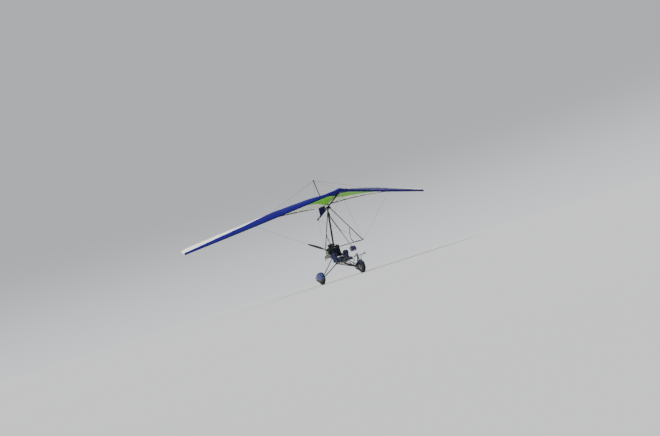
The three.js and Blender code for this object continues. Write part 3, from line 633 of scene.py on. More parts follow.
def sail_point(at, u, upper, side, lift=0.0):
    """A point on the finished cloth. u runs from the front of the leading edge tube to the trailing edge."""
    chord, radius = chord_at(at), lerp(EDGE_RADII, at)
    scallop = 0.014 * between_battens(at) * u ** 12
    height = (upper_height if upper else lower_height)(at, u)
    height += wrinkle(at, u, upper) + (lift if upper else -lift)
    return chord_point(at, max(u * chord, radius) - scallop, height, side)


# Coloured zones: the shares of the chord where they end, at a few stations.
ZONE_STATIONS = (0, 0.03, 0.08, 0.25, 0.34, 0.57, 0.8, 0.9, 1)
BLUE_ABOVE = (0.34, 0.37, 0.42, 0.42, 0.35, 0.17, 0.12, 0.08, 0.04)
BLUE_BELOW = (0.2, 0.18, 0.07, 0.06, 0.06, 0.06, 0.05, 0.01, 0)
GREEN_END = (0.6, 0.62, 0.65, 0.755, 0.78, 0.8, 0.82, 0.83, 0.84)
# The last strip of each chord is painted dark: a navy hem tape, widened so that it also paints the shade
# along the hem and the batten ends.
HEM_SHADE_START = 0.94
POCKET_HALF, SEAM_WIDTH = 0.0026, 0.012
CREAM, BLUE, GREEN, HEM_TAPE_AND_SHADE = range(4)
NOSE_STEPS = 12


def zone(ends, at):
    return float(np.interp(at, ZONE_STATIONS, ends))


def section_shares(at, upper):
    """Shares of the chord where a section has points, and the paint of the strip behind each."""
    if upper:
        zones = ((BLUE, zone(BLUE_ABOVE, at), 10), (CREAM, HEM_SHADE_START, 17), (HEM_TAPE_AND_SHADE, 1.0, 2))
    else:
        zones = ((BLUE, zone(BLUE_BELOW, at), 4), (GREEN, SURFACE_END, 9), (GREEN, zone(GREEN_END, at), 6),
                 (CREAM, HEM_SHADE_START, 8), (HEM_TAPE_AND_SHADE, 1.0, 2))
    start = lerp(EDGE_RADII, at) / chord_at(at)
    shares, paints = [start], []
    for paint, end, steps in zones:
        end = max(end, start + 0.004)
        shares += [start + (end - start) * k / steps for k in range(1, steps + 1)]
        paints += [paint] * steps
        start = end
    return shares, paints


def sail_ring(at, side, lift=0.0, rear=1.0):
    """Points round one section, from the rear forward below and back above."""
    radius = lerp(EDGE_RADII, at)
    front = radius / chord_at(at)
    reach = lambda share: front + (rear - front) * (share - front) / (1 - front)
    ring = [sail_point(at, reach(u), False, side, lift) for u in reversed(section_shares(at, False)[0])]
    for step in range(1, NOSE_STEPS):
        turn = -math.pi / 2 - math.pi * step / NOSE_STEPS
        blend = step / NOSE_STEPS
        out = radius + lift + wrinkle(at, front, True) * (0.3 + 0.7 * blend) * (1 if blend > 0.1 else 0)
        ring.append(chord_point(at, radius + out * math.cos(turn), out * math.sin(turn), side))
    return ring + [sail_point(at, reach(u), True, side, lift) for u in section_shares(at, True)[0]]


def sail_stations():
    """Stations of the sections: close together at each batten and even between them."""
    close = (-2 * POCKET_HALF, -POCKET_HALF, -0.0011, 0, 0.0011, POCKET_HALF, 2 * POCKET_HALF)
    stations = {0.0005, 0.006, 1.0}
    for low, high in BAYS:
        stations.update(low + (high - low) * k / 8 for k in range(1, 8))
    for mark in BATTENS:
        stations.update(mark + step for step in close)
    return sorted(stations)


def sail(name, side):
    """One half of the sail, with its coloured panels."""
    shape = Shape()
    rows = [sail_ring(at, side) for at in sail_stations()]
    shape.skin(rows)
    strip = section_shares(0, False)[1][::-1] + [BLUE] * NOSE_STEPS + section_shares(0, True)[1] + [HEM_TAPE_AND_SHADE]
    shape.paints = strip * (len(rows) - 1) + [CREAM, CREAM]
    piece(f"sail_cloth_{name}", "wing", shape, [WHITE_SAIL, BLUE_SAIL, GREEN_SAIL, DARK_TAPE_AND_HEM_SHADE],
          [f"sail_{name}"], smooth=50)


def sail_strip(shape, side, path, width, upper, paint=0, lift=0.0012):
    """A narrow tape sewn on the cloth along (station, share) points."""
    rows = []
    for i, (at, u) in enumerate(path):
        other = path[i + 1] if i + 1 < len(path) else path[i - 1]
        spanwise = abs(other[0] - at) > 1e-6
        half_u = width / 2 / chord_at(at) if spanwise else 0
        half_at = 0 if spanwise else width / 2 / HALF_SPAN
        low = sail_point(at - half_at, u - half_u, upper, side, lift)
        high = sail_point(at + half_at, u + half_u, upper, side, lift)
        drop = vec(0, 0, -lift * 2 if upper else lift * 2)
        rows.append([low, high, high + drop, low + drop])
    shape.skin(rows, paint)


def batten_tip(shape, mark, side):
    """Plug on a batten's rear end, and the two cords that hold it in its pocket."""
    end = sail_point(mark, 1.0, True, side)
    out = (end - sail_point(mark, 0.95, True, side)).normalized()
    start = end - out * 0.03 - Z_AXIS * 0.004
    shape.sweep([start, end + out * 0.004, end + out * 0.012, end + out * 0.016],
                [0.0065, 0.0065, 0.005, 0.002], 12)
    for x in (-0.01, 0.01):
        loop = ((-0.03, 1), (0.006, 0.8), (0.014, 0), (0.008, -0.2))
        cord = [end + out * along + X_AXIS * x * across for along, across in loop]
        shape.sweep(smooth_path(cord, 8), 0.0016, 6, paint=1)


def sail_trim(name, side):
    """Seam tapes, batten pockets and batten tips."""
    seams, tips = Shape(), Shape()
    span = [at for at in sail_stations() if 0.004 < at < 0.995]
    seam_at = lambda ends, at: max(zone(ends, at), lerp(EDGE_RADII, at) / chord_at(at) + 0.008)
    for ends, upper in ((BLUE_ABOVE, True), (BLUE_BELOW, False), (GREEN_END, False)):
        path = [(at, seam_at(ends, at)) for at in span]
        sail_strip(seams, side, path, SEAM_WIDTH, upper, BLUE if ends is BLUE_ABOVE else CREAM)
    sail_strip(seams, side, [(at, 0.66) for at in span], SEAM_WIDTH, True)
    chord = [0.04 + 0.955 * k / 24 for k in range(25)]
    for mark in BATTENS:
        split = seam_at(BLUE_ABOVE, mark)
        front, back = [u for u in chord if u < split] + [split], [split] + [u for u in chord if u > split]
        for at in (mark - POCKET_HALF, mark + POCKET_HALF):
            for part, paint in ((front, BLUE), (back, CREAM)):
                sail_strip(seams, side, [(at, u) for u in part], 0.008, True, paint, 0.001)
        rear = [u for u in chord if u > zone(GREEN_END, mark) + 0.01]
        sail_strip(seams, side, [(mark, u) for u in rear], 2 * SEAM_WIDTH, False, lift=0.0022)
        batten_tip(tips, mark, side)
    piece(f"sail_seams_{name}", "wing", seams, [WHITE_SAIL, BLUE_SAIL], smooth=30)
    piece(f"batten_tips_{name}", "wing", tips, [PLASTIC, WEBBING])


def tip_cap(name, side):
    """Moulded cap on the end of the leading edge tube, and the tip's tension strap."""
    shape = Shape()
    radius = EDGE_RADII[1]
    centre = chord_point(0.994, radius, 0, side)
    profile = [(0, 0.012), (radius * 0.7, 0.01), (radius + 0.002, 0), (radius + 0.002, -0.05),
               (radius - 0.002, -0.052), (0, -0.052)]
    shape.lathe(profile, centre, (side, 0, 0), 32, scale=1)
    hook = chord_point(0.99, 0.18, 0.03, side)
    shape.sweep([centre, centre.lerp(hook, 0.5) + vec(0, 0, 0.006), hook], 0.011, paint=1,
                outline=strap(0.12), up=Z_AXIS)
    piece(f"wing_tip_cap_{name}", "wing", shape, [PLASTIC, WEBBING], smooth=40)


def nose_cone():
    """Fitted fabric cone over the nose, with its hem and gathers."""
    depth = 0.23
    cone, hem = Shape(), Shape()
    widest = 0.405 / HALF_SPAN
    rows = []
    for k in range(-20, 21):
        at = widest * k / 20
        place = abs(at)
        length = (depth - place * HALF_SPAN * math.tan(SWEEP)) / math.cos(lerp(TWISTS, place))
        rear = max(length, 0.04) / chord_at(place)
        gather = 0.004 + 0.0012 * math.sin(k * 2.4)
        ring = sail_ring(place, 1 if at >= 0 else -1, gather, rear)
        crown = 0.02 * near(at, 0, widest * 0.55)
        lowest, highest = min(p.z for p in ring), max(p.z for p in ring)
        rows.append([p + Z_AXIS * crown * max(0, (p.z - lowest) / (highest - lowest)) ** 1.5 for p in ring])
    edge_low = [row[0] for row in rows]
    edge_high = [row[-1] for row in rows]
    cone.skin(rows, closed=False)
    for edge in (edge_low, edge_high):
        hem.sweep(edge, 0.0035, 8)
    piece("nose_cone_cloth", "wing", cone, [BLUE_SAIL], ["nose_cone"], smooth=60, solid=0.0015)
    piece("nose_cone_hem", "wing", hem, [NAVY_SAIL])


# The keel, the king post, the control frame and the stays.
KEEL_RADIUS, POST_RADIUS, WIRE_RADIUS = 0.025, 0.016, 0.0031
UPRIGHT_RADIUS, BASE_BAR_RADIUS, HAND_BAR_RADIUS = 0.015, 0.014, 0.011
KEEL_FRONT = vec(0, -1.385, 0)
KEEL_REAR = vec(0, 1.062, 0)
POST_Y = 0.151
STAY_TOP = vec(0, POST_Y, 1.185)
CORNER = vec(0.768, -0.111, -1.496)
BRACKET_Y = -0.13


def keel():
    """Keel tube with collars, bracket, end cap and the cross fitting."""
    shape = Shape()
    shape.bar(KEEL_FRONT, KEEL_REAR, KEEL_RADIUS, 40)
    for y in (-0.05, 0.05):
        shape.band(vec(0, y, 0), Y_AXIS, -0.004, 0.004, KEEL_RADIUS + 0.008, 40)
        shape.bolt((0, y, KEEL_RADIUS + 0.008), Z_AXIS, 0.004, 1)
    shape.block((0, BRACKET_Y, -0.05), (0.13, 0.06, 0.07), corner=0.004)
    for x in (-0.045, 0.045):
        shape.bolt((x, BRACKET_Y - 0.03, -0.064), -Y_AXIS, 0.008, 1, 0.06)
    shape.through(vec(0, BRACKET_Y, -0.04), X_AXIS, 0.065, 0.007)
    cross = KEEL_REAR - Y_AXIS * 0.015
    shape.band(cross, Z_AXIS, -0.045, 0.045, 0.01, 20)
    for z in (-0.04, 0.04):
        shape.ring(cross + Z_AXIS * z, X_AXIS, 0.008, 0.0022, paint=1)
    shape.lathe([(0, 0), (21.5, 0), (23, -3), (23, -20), (0, -20)], KEEL_REAR, Y_AXIS, 32, paint=2)
    shape.bar((0, 0.8, 0), (0, 0.86, 0), KEEL_RADIUS + 0.0025, 40, paint=1)
    for y in (0.15, 0.83):
        shape.bolt((0, y, -0.026), -Z_AXIS, 0.005, 1)
    piece("keel", "wing", shape, [DARK_TUBE, STEEL, PLASTIC], ["keel_tube"])


def keel_pocket():
    """Cloth pocket that joins the sail's centre line to the keel, with its seams."""
    shape = Shape()
    rows = []
    for k in range(29):
        share = k / 28
        low = vec(0, 0.18 + 0.565 * share, 0.004)
        reach = 0.168 + 0.46 * share
        roof = sail_point(0.0005, (reach - NOSE_Y) / math.cos(TWISTS[0]) / CHORDS[0], False, 1).z - 0.003
        high = vec(0, reach, roof)
        fold = lambda step: 0.0045 * math.sin(9 * share + 2.2 * step) * math.sin(math.pi * step / 8)
        middle = [low.lerp(high, step / 8) + X_AXIS * fold(step) for step in range(9)]
        rows.append([p + X_AXIS * SKIN for p in middle] + [p - X_AXIS * SKIN for p in reversed(middle)])
    shape.skin(rows)
    sleeve = [(0, 0.225 + 0.53 * k / 24, 0) for k in range(25)]
    shape.sweep(sleeve, [0.0295 + 0.0012 * math.sin(k * 1.9) for k in range(25)], 32)
    for y in (0.228, 0.752):
        shape.sweep([(0, y - 0.007, 0), (0, y + 0.007, 0)], 0.0315, 32, paint=1)
    for x in (-0.0055, 0.0055):
        shape.sweep([(x, 0.24, 0.034), (x, 0.72, 0.034)], 0.002, 6, paint=1)
    shape.sweep([rows[-1][4], rows[-1][8]], 0.004, 6, paint=1)
    piece("keel_pocket_cloth", "wing", shape, [NAVY_SAIL, DARK_TAPE_AND_HEM_SHADE], ["keel_pocket"],
          smooth=50)


def king_post():
    """King post with its foot, sleeve, cap and the tangs of the upper stays."""
    shape = Shape()
    foot, top = vec(0, POST_Y, 0.024), vec(0, POST_Y, 1.165)
    shape.bar(foot, top, POST_RADIUS, 32)
    shape.band(top, Z_AXIS, 0, 0.035, POST_RADIUS + 0.01, 32, 2)
    shape.band(foot, Z_AXIS, 0, 0.045, POST_RADIUS + 0.0055, 32, 2)
    shape.through(foot + Z_AXIS * 0.026, X_AXIS, POST_RADIUS + 0.0055, 0.005)
    shape.band(foot, Z_AXIS, 0.5, 0.56, POST_RADIUS + 0.002, 32, 2)
    tang = [(-4, 8), (10, 6), (16, -4), (12, -12), (-4, -10)]
    for way in (vec(1, -0.2, 0), vec(-1, -0.2, 0), -Y_AXIS, Y_AXIS):
        out = way.normalized()
        at, across = STAY_TOP + out * 0.024, out.cross(Z_AXIS)
        shape.plate(tang, 0.0022, at, out, Z_AXIS, 1)
        shape.through(at, across, 0.0011, 0.0035)
    piece("king_post_tube", "wing", shape, [DARK_TUBE, STEEL, PLASTIC], ["king_post"])


def upright_at(side, share):
    return vec(side * 0.045, BRACKET_Y, -0.07).lerp(vec(side * 0.75, CORNER.y, CORNER.z), share)


def corner_at(side):
    return vec(side * CORNER.x, CORNER.y, CORNER.z)


def upright_sleeve(shape, side, low, high, radius):
    """A sleeve round an upright between two shares of its length, with a bolt through it."""
    a, b = upright_at(side, low), upright_at(side, high)
    shape.bar(a, b, radius, 32, paint=1)
    shape.through(a.lerp(b, 0.5), -Y_AXIS, radius, 0.0045)


def control_frame():
    """Uprights, base bar with grips, and the second hand bars."""
    bar = Shape()
    bar.bar(corner_at(-1), corner_at(1), BASE_BAR_RADIUS, 32)
    for name, side in SIDES:
        corner, inward = corner_at(side), -side * X_AXIS
        bar.band(corner, inward, -0.008, 0.034, BASE_BAR_RADIUS + 0.006, 32)
        bar.through(corner + inward * 0.013, -Y_AXIS, BASE_BAR_RADIUS + 0.006, 0.005)
        grip = [corner + inward * (0.09 + 0.26 * k / 40) for k in range(41)]
        bar.sweep(grip, [BASE_BAR_RADIUS + 0.0032 + 0.0012 * (k % 2) for k in range(41)], 24, paint=2)
        shape = Shape()
        shape.bar(upright_at(side, 0), upright_at(side, 1), UPRIGHT_RADIUS, 32)
        for share in (0.012, 0.97):
            upright_sleeve(shape, side, share, share + 0.028, UPRIGHT_RADIUS + 0.0035)
        for share in (0.34, 0.68):
            band = upright_at(side, share), upright_at(side, share + 0.008)
            shape.bar(*band, UPRIGHT_RADIUS + 0.0015, 24, paint=2)
        piece(f"upright_{name}", "wing", shape, [DARK_TUBE, STEEL, PLASTIC],
              [f"control_upright_{name}"])
        training_bar(name, side)
    piece("base_bar", "wing", bar, [DARK_TUBE, STEEL, RUBBER], ["control_base_bar"])


def training_bar(name, side):
    """Second hand bar behind an upright, with its clamps and grips."""
    shape = Shape()
    course = [(0.455, -0.045, -1.02), (0.425, 0.015, -1.18), (0.405, 0.005, -1.33),
              (0.395, -0.07, -1.45), (0.392, CORNER.y, CORNER.z)]
    path = smooth_path([upright_at(side, 0.6)] + mirrored(course, side), 60)
    shape.sweep(path, HAND_BAR_RADIUS, 20)
    for i in (20, 42):
        for k in range(14):
            a, b = path[i + k // 2 - 4], path[i + k // 2 - 3]
            middle = a.lerp(b, (k % 2) / 2)
            rib = [middle, middle + (b - a).normalized() * 0.01]
            shape.sweep(rib, HAND_BAR_RADIUS + 0.0032, 20, paint=2)
    upright_sleeve(shape, side, 0.588, 0.612, UPRIGHT_RADIUS + 0.0045)
    foot = path[-1]
    shape.band(foot, side * X_AXIS, -0.014, 0.014, 0.0185, 32)
    shape.through(foot, -Y_AXIS, 0.0185, 0.0045)
    piece(f"hand_bar_{name}", "wing", shape, [DARK_TUBE, STEEL, RUBBER],
          [f"training_bar_{name}"])


def strand(shape, a, b):
    """A laid wire rope: six strands that wind round between two points."""
    steps = max(2, int((b - a).length / 0.012))
    lobes = [WIRE_RADIUS * (1 if k % 2 else 0.8) for k in range(12)]
    shape.skin(helix(a, b, lobes, steps, math.radians(50)))


def wire(name, a, b, a_gap=0.03, b_gap=0.02):
    """A main stay with its swaged ends, thimbles and tangs."""
    shape = Shape()
    a, b = Vector(a), Vector(b)
    along = (b - a).normalized()
    strand(shape, a + along * a_gap, b - along * b_gap)
    for end, way, gap in ((a, along, a_gap), (b, -along, b_gap)):
        start = end + way * gap
        for places, radii in (((0, 0.002, 0.03, 0.034), (0.0034, 0.0048, 0.0048, 0.003)),
                              ((0.04, 0.041, 0.056, 0.058), (0.0032, 0.0045, 0.0045, 0.003))):
            shape.sweep([start + way * place for place in places], radii, 14, paint=1)
        flat = way.cross(way.cross(Z_AXIS).normalized())
        loop = [start + way * (0.011 * c - 0.009) + flat * (0.0065 * s) for c, s in circle(20)]
        shape.sweep(loop, 0.0024, 8, closed=True)
    piece(f"stay_{name}", "wing", shape, [CABLE, STEEL], [name])


def cloth_height(x, y, upper):
    """Height of the cloth at a place, settled in a few rounds."""
    at, up = abs(x) / HALF_SPAN, 0.0
    twist, front = lerp(TWISTS, at), NOSE_Y + abs(x) * math.tan(SWEEP)
    for _ in range(5):
        along = (y - front + up * math.sin(twist)) / math.cos(twist)
        up = (upper_height if upper else lower_height)(at, along / chord_at(at))
    return chord_point(at, along, up).z


def out_of_cloth(inside, far, upper):
    """Where a straight line from inside the wing to a far point comes out of the cloth."""
    low, high = 0.0, 0.2
    for _ in range(24):
        middle = (low + high) / 2
        p = inside.lerp(far, middle)
        if (p.z > cloth_height(p.x, p.y, upper)) == upper:
            high = middle
        else:
            low = middle
    return inside.lerp(far, high)


def stays():
    """The main stays below and above the wing, and the thin lines that lift the trailing edge."""
    for name, side in SIDES:
        corner = corner_at(side)
        outer = chord_point(JUNCTION, 0.06, 0, side)
        under, over = out_of_cloth(outer, corner, False), out_of_cloth(outer, STAY_TOP, True)
        wire(f"flying_wire_{name}", corner, under, 0.035)
        wire(f"front_wire_{name}", corner, (side * 0.005, NOSE_Y + 0.11, -0.02), 0.035, 0.03)
        wire(f"rear_wire_{name}", corner, (side * 0.005, KEEL_REAR.y - 0.06, -0.02), 0.035)
        wire(f"landing_wire_{name}", STAY_TOP + vec(side * 0.03, 0, -0.004), over, 0.016)
    wire("top_wire_front", STAY_TOP - Y_AXIS * 0.03, (0, NOSE_Y + 0.085, 0.075), 0.016)
    wire("top_wire_rear", STAY_TOP + vec(0, 0.03, -0.01), (0, KEEL_REAR.y - 0.048, 0.03), 0.016)
    lines = Shape()
    for _, side in SIDES:
        for mark in (BATTENS[1], BATTENS[3]):
            end = sail_point(mark, 0.965, True, side)
            start = STAY_TOP + vec(side * 0.024, 0.016, 0.002)
            middle = start.lerp(end, 0.5) - Z_AXIS * 0.02
            lines.sweep(smooth_path([start, middle, end], 30), 0.0011, 6)
            lines.ring(end + Z_AXIS * 0.003, Z_AXIS, 0.007, 0.0018, 20)
    piece("reflex_lines", "wing", lines, [WEBBING])


def wing_fittings():
    """Tangs on the leading edges, the nose plate and the catches that hold the wires."""
    shape = Shape()
    for _, side in SIDES:
        outer, corner = chord_point(JUNCTION, 0.06, 0, side), corner_at(side)
        for far, upper, way in ((corner, False, -Z_AXIS), (STAY_TOP, True, Z_AXIS)):
            at = out_of_cloth(outer, far, upper) + way * 0.0035
            shape.plate([(-16, -12), (16, -12), (16, 12), (-16, 12)], 0.006, at, X_AXIS, Y_AXIS)
            for x in (-0.009, 0.009):
                shape.bolt(at + X_AXIS * x + way * 0.003, way, 0.004)
        shape.plate([(-12, -16), (12, -16), (22, 30), (8, 40), (-8, 40), (-22, 30)], 0.003,
                    corner + vec(side * 0.0105, 0, 0.012), Y_AXIS, Z_AXIS)
        shape.bolt(corner + vec(side * 0.012, 0, 0.014), side * X_AXIS, 0.006)
    nose = vec(0, NOSE_Y + 0.09, -0.0266)
    nose_plate = [(-16, -30), (16, -30), (26, -10), (26, 40), (-26, 40), (-26, -10)]
    shape.plate(nose_plate, 0.003, nose, X_AXIS, Y_AXIS)
    for y in (-0.014, 0.03):
        shape.bolt(nose + vec(0, y, -0.0015), -Z_AXIS, 0.005)
    piece("wire_tangs", "wing", shape, [STEEL], bevel=0.0006)


def hang_block():
    """Machined sleeve round the keel, with cheeks, hang bolt, nut and split pin."""
    shape = Shape()
    bore = KEEL_RADIUS + 0.0006
    rows = []
    for y, grow in ((-0.045, -0.002), (-0.043, 0), (0.043, 0), (0.045, -0.002)):
        outer = []
        for c, s in circle(48):
            reach = 1 / max(abs(c) / (0.038 + grow), abs(s) / (0.037 + grow), 1e-6)
            reach = min(reach, 0.0465 + grow)
            outer.append(vec(reach * c, y, 0.004 + reach * s))
        rows.append(outer)
    rows += [[vec(bore * c, y, bore * s) for c, s in circle(48)] for y in (0.045, -0.045)]
    shape.skin(rows + rows[:1], capped=False)
    cheek = [(-26, -30), (-26, -82), (-22, -89), (-16, -94), (16, -94), (22, -89), (26, -82), (26, -30)]
    for x in (-0.0235, 0.0235):
        shape.plate(cheek, 0.009, (x, 0, 0), Y_AXIS, Z_AXIS)
    hang_bolt = vec(0, 0, -0.07)
    shape.band(hang_bolt, X_AXIS, -0.036, 0.036, 0.006, 20)
    shape.through(hang_bolt, X_AXIS, 0.0285, 0.011)
    shape.ring((-0.038, 0, -0.078), X_AXIS, 0.009, 0.0011, paint=1)
    for x in (-0.03, 0.03):
        for y in (-0.034, 0.034):
            shape.bolt((x, y, 0.041), Z_AXIS, 0.0045, 1)
    piece("hang_bracket", "hang_block", shape, [GREY_TUBE, STEEL], ["hang_block"], bevel=0.0008)


# Places on the trike.
BOLT = vec(0, -0.01497, 2.46162)
MAST_FOOT = vec(0, 0.62, 0.55)
MAST_WAY = (MAST_FOOT - BOLT).normalized()
BASE_FRONT, BASE_REAR = vec(0, -0.93, 0.258), vec(0, 0.59, 0.664)
HEAD_BOTTOM, HEAD_TOP = vec(0, -1.155, 0.46), vec(0, -1.125, 0.665)
AXLE_Y, NOSE_AXLE_Y, HALF_TRACK, WHEEL_RADIUS = 0.422, -1.17, 0.821, 0.2
KNUCKLE_X = 0.733
FOOT_BAR = vec(0, -1.3, 0.6)
MAST_RADIUS, STRUT_RADIUS, BASE_RADIUS, HEAD_RADIUS = 0.03, 0.02, 0.025, 0.026
LEG_RADIUS, LEG_STRUT_RADIUS, RAIL_RADIUS, HOOP_RADIUS = 0.017, 0.015, 0.012, 0.01
RAIL_TILT = math.atan2(0.06, 0.48)
HUB = vec(0, 0.971, 1.144)


def mast_at(z):
    return BOLT + MAST_WAY * ((z - BOLT.z) / MAST_WAY.z)


STRUT_TOP, STRUT_FOOT = mast_at(2.295), vec(0, -1.132, 0.672)
STRUT_WAY = (STRUT_FOOT - STRUT_TOP).normalized()


def cable_ties(shape, points, way, radius):
    """Narrow ties round a tube, each with its locking head."""
    for point in points:
        shape.sweep([point, point + way * 0.0045], radius, 28, 2)
        head = point + way * 0.002 + X_AXIS * (radius + 0.002)
        shape.block(head, (0.006, 0.007, 0.006), 2, 0.001)


def mast_wiring(shape):
    """A wire and a hose that run down the back of the mast in two lengths, with their ties."""
    across = vec(0.7, -0.7, 0) * 1.4
    for offset, radius in ((0.0005, 0.0034), (-0.0065, 0.0026)):
        out = vec(0.7, 0.7, 0).normalized() * (MAST_RADIUS + radius) + across * offset
        for heights in ((2.2, 2.0, 1.8, 1.72), (1.52, 1.45, 1.4)):
            shape.sweep([mast_at(z) + out for z in heights], radius, 10, paint=2)
    cable_ties(shape, [mast_at(z) for z in (2.15, 1.95, 1.78, 1.47)], MAST_WAY, MAST_RADIUS + 0.0018)


def mast():
    """Mast with its tongue, bush, joint sleeve, strut bracket, foot sleeve and wiring."""
    shape = Shape()
    start, sleeve, bracket = BOLT + MAST_WAY * 0.048, mast_at(1.62), mast_at(2.285)
    collar = MAST_RADIUS + 0.0035
    shape.bar(start, MAST_FOOT, MAST_RADIUS, 48)
    shape.block(BOLT + MAST_WAY * 0.04, (0.034, 0.044, 0.08), 1, 0.003, math.atan2(MAST_WAY.y, -MAST_WAY.z))
    bush = [(6.6, -17), (21, -17), (22, -16), (22, 16), (21, 17), (6.6, 17), (6.6, -17)]
    shape.lathe(bush, BOLT, X_AXIS, 36, paint=1)
    shape.band(start, MAST_WAY, -0.001, 0.03, collar - 0.001, 48)
    shape.band(sleeve, MAST_WAY, -0.09, 0.09, collar, 48, 0)
    for along in (-0.06, -0.02, 0.02, 0.06):
        shape.through(sleeve + MAST_WAY * along, X_AXIS, collar, 0.0055)
    shape.band(bracket, MAST_WAY, -0.055, 0.065, collar + 0.001, 48, 0)
    cheek = [(-50, 30), (10, 50), (30, 20), (30, -60), (0, -70), (-75, -35)]
    for x in (-0.024, 0.024):
        shape.plate(cheek, 0.005, STRUT_TOP + X_AXIS * x, Y_AXIS, Z_AXIS)
    for at in (STRUT_TOP, STRUT_TOP + STRUT_WAY * 0.055):
        shape.through(at, X_AXIS, 0.0265, 0.0065)
    shape.band(MAST_FOOT, MAST_WAY, -0.13, -0.01, collar, 48, 0)
    for along in (0.035, 0.105):
        shape.through(MAST_FOOT - MAST_WAY * along, X_AXIS, collar, 0.0065)
    shape.lathe([(0, 4), (27, 3), (31, 0), (31, -12), (0, -12)], MAST_FOOT, MAST_WAY, 36, paint=2)
    mast_wiring(shape)
    piece("mast_tube", "trike", shape, [DARK_TUBE, STEEL, PLASTIC], ["mast"])


def front_strut():
    """Front strut with end plugs, clevis pins and a pull ring."""
    shape = Shape()
    a, b = STRUT_TOP + STRUT_WAY * 0.03, STRUT_FOOT - STRUT_WAY * 0.035
    plug = STRUT_RADIUS + 0.0015
    shape.bar(a, b, STRUT_RADIUS, 40)
    shape.band(a, STRUT_WAY, -0.004, 0.075, plug, 40)
    shape.band(b, STRUT_WAY, -0.075, 0.012, plug, 40)
    tilt = -math.atan2(STRUT_WAY.y, -STRUT_WAY.z)
    shape.block(b + STRUT_WAY * 0.02, (0.02, 0.03, 0.055), 1, 0.003, tilt)
    for k in (0.015, 0.055):
        shape.through(b - STRUT_WAY * k, X_AXIS, plug, 0.005)
    shape.ring(b + STRUT_WAY * 0.004 + vec(0.026, 0, -0.012), X_AXIS, 0.013, 0.0014, paint=1)
    shape.band(STRUT_TOP.lerp(STRUT_FOOT, 0.42), STRUT_WAY, 0, 0.05, STRUT_RADIUS + 0.0012, 40, 2)
    tied = [STRUT_TOP.lerp(STRUT_FOOT, share) for share in (0.56, 0.86)]
    cable_ties(shape, tied, STRUT_WAY, STRUT_RADIUS + 0.0012)
    piece("front_strut_tube", "trike", shape, [GREY_TUBE, STEEL, PLASTIC], ["front_strut"])


def base_tube():
    """Base tube with its plug, saddles, skid strip and the brake cable."""
    shape = Shape()
    way = (BASE_REAR - BASE_FRONT).normalized()
    down = way.cross(X_AXIS)
    on_tube = lambda share: BASE_FRONT.lerp(BASE_REAR, share)
    shape.bar(BASE_FRONT, BASE_REAR, BASE_RADIUS, 48)
    shape.lathe([(0, 6), (18, 5), (24.5, 0), (24.5, -6), (0, -6)], BASE_FRONT, -way, 36, paint=2)
    for share in (0.23, 0.62, 0.9):
        shape.band(on_tube(share), way, -0.022, 0.022, BASE_RADIUS + 0.0035, 48)
        shape.bolt(on_tube(share) + down * (BASE_RADIUS + 0.0035), down, 0.0055, 1)
    skid = [on_tube(share) + down * (BASE_RADIUS + 0.0015) for share in (0.3, 0.45, 0.58)]
    shape.sweep(skid, 0.012, paint=2, outline=strap(0.16), up=down)
    brake = [(0.012, -0.9, 0.295), (0.026, -0.6, 0.35), (0.028, 0, 0.508), (0.028, 0.45, 0.628)]
    shape.sweep(smooth_path(brake, 30), 0.003, 8, paint=2)
    cable_ties(shape, [on_tube(share) for share in (0.12, 0.4, 0.75)], way, BASE_RADIUS + 0.0018)
    piece("base_tube_long", "trike", shape, [DARK_TUBE, STEEL, PLASTIC], ["base_tube"])


def steering_head():
    """Head tube with bearing cups, nose post, gusset and weld beads."""
    shape = Shape()
    way = (HEAD_TOP - HEAD_BOTTOM).normalized()
    shape.bar(HEAD_BOTTOM, HEAD_TOP, HEAD_RADIUS, 48)
    cup = [(14, 0), (28.5, 0), (28.5, -12), (26, -16), (14, -16), (14, 0)]
    for at, out in ((HEAD_BOTTOM, -way), (HEAD_TOP, way)):
        shape.lathe(cup, at, out, 40, paint=1)
    low, high = vec(0, -0.912, 0.263), vec(0, -1.128, 0.612)
    post = (high - low).normalized()
    shape.bar(low + post * 0.01, high, 0.017, 36)
    for at in (low + post * 0.024, high - post * 0.04):
        shape.lathe([(16, 0), (20.5, 2), (20.5, 7), (16, 10), (16, 0)], at, post, 36)
    shape.plate([(0, 0), (55, -95), (66, -92), (12, 50), (0, 50)], 0.004, (0, -1.118, 0.548), Y_AXIS, Z_AXIS)
    shape.bolt(HEAD_BOTTOM.lerp(HEAD_TOP, 0.5) - Y_AXIS * HEAD_RADIUS, -Y_AXIS, 0.004, 1)
    piece("steering_head_tube", "trike", shape, [DARK_TUBE, STEEL], ["steering_head"])


def foot_rest(shape, side):
    """Ribbed foot rest with its end cap and the tilted pedal plate behind it."""
    for x in (0.05, 0.074):
        shape.lathe([(12.8, 0), (16, 2), (12.8, 4), (12.8, 0)], FOOT_BAR + X_AXIS * side * x, X_AXIS, 28)
    ribs = [FOOT_BAR + X_AXIS * side * (0.12 + 0.108 * k / 36) for k in range(37)]
    shape.sweep(ribs, [0.0178 + 0.0014 * (k % 2) for k in range(37)], 28, paint=2)
    shape.lathe([(0, 6), (16, 5), (19.5, 0), (19.5, -6), (0, -6)], FOOT_BAR + X_AXIS * side * 0.229,
                X_AXIS * side, 28, paint=2)
    lean = math.radians(26)
    up, face = vec(0, -math.sin(lean), math.cos(lean)), vec(0, math.cos(lean), math.sin(lean))
    pedal = FOOT_BAR + X_AXIS * side * 0.168 + up * 0.03 - face * 0.0165
    shape.block(pedal, (0.05, 0.006, 0.082), 1, 0.0022, lean)
    for k in range(5):
        rib = pedal + up * (-0.002 + 0.009 * k) + face * 0.0038
        shape.block(rib, (0.042, 0.004, 0.004), 2, 0.0012, lean)


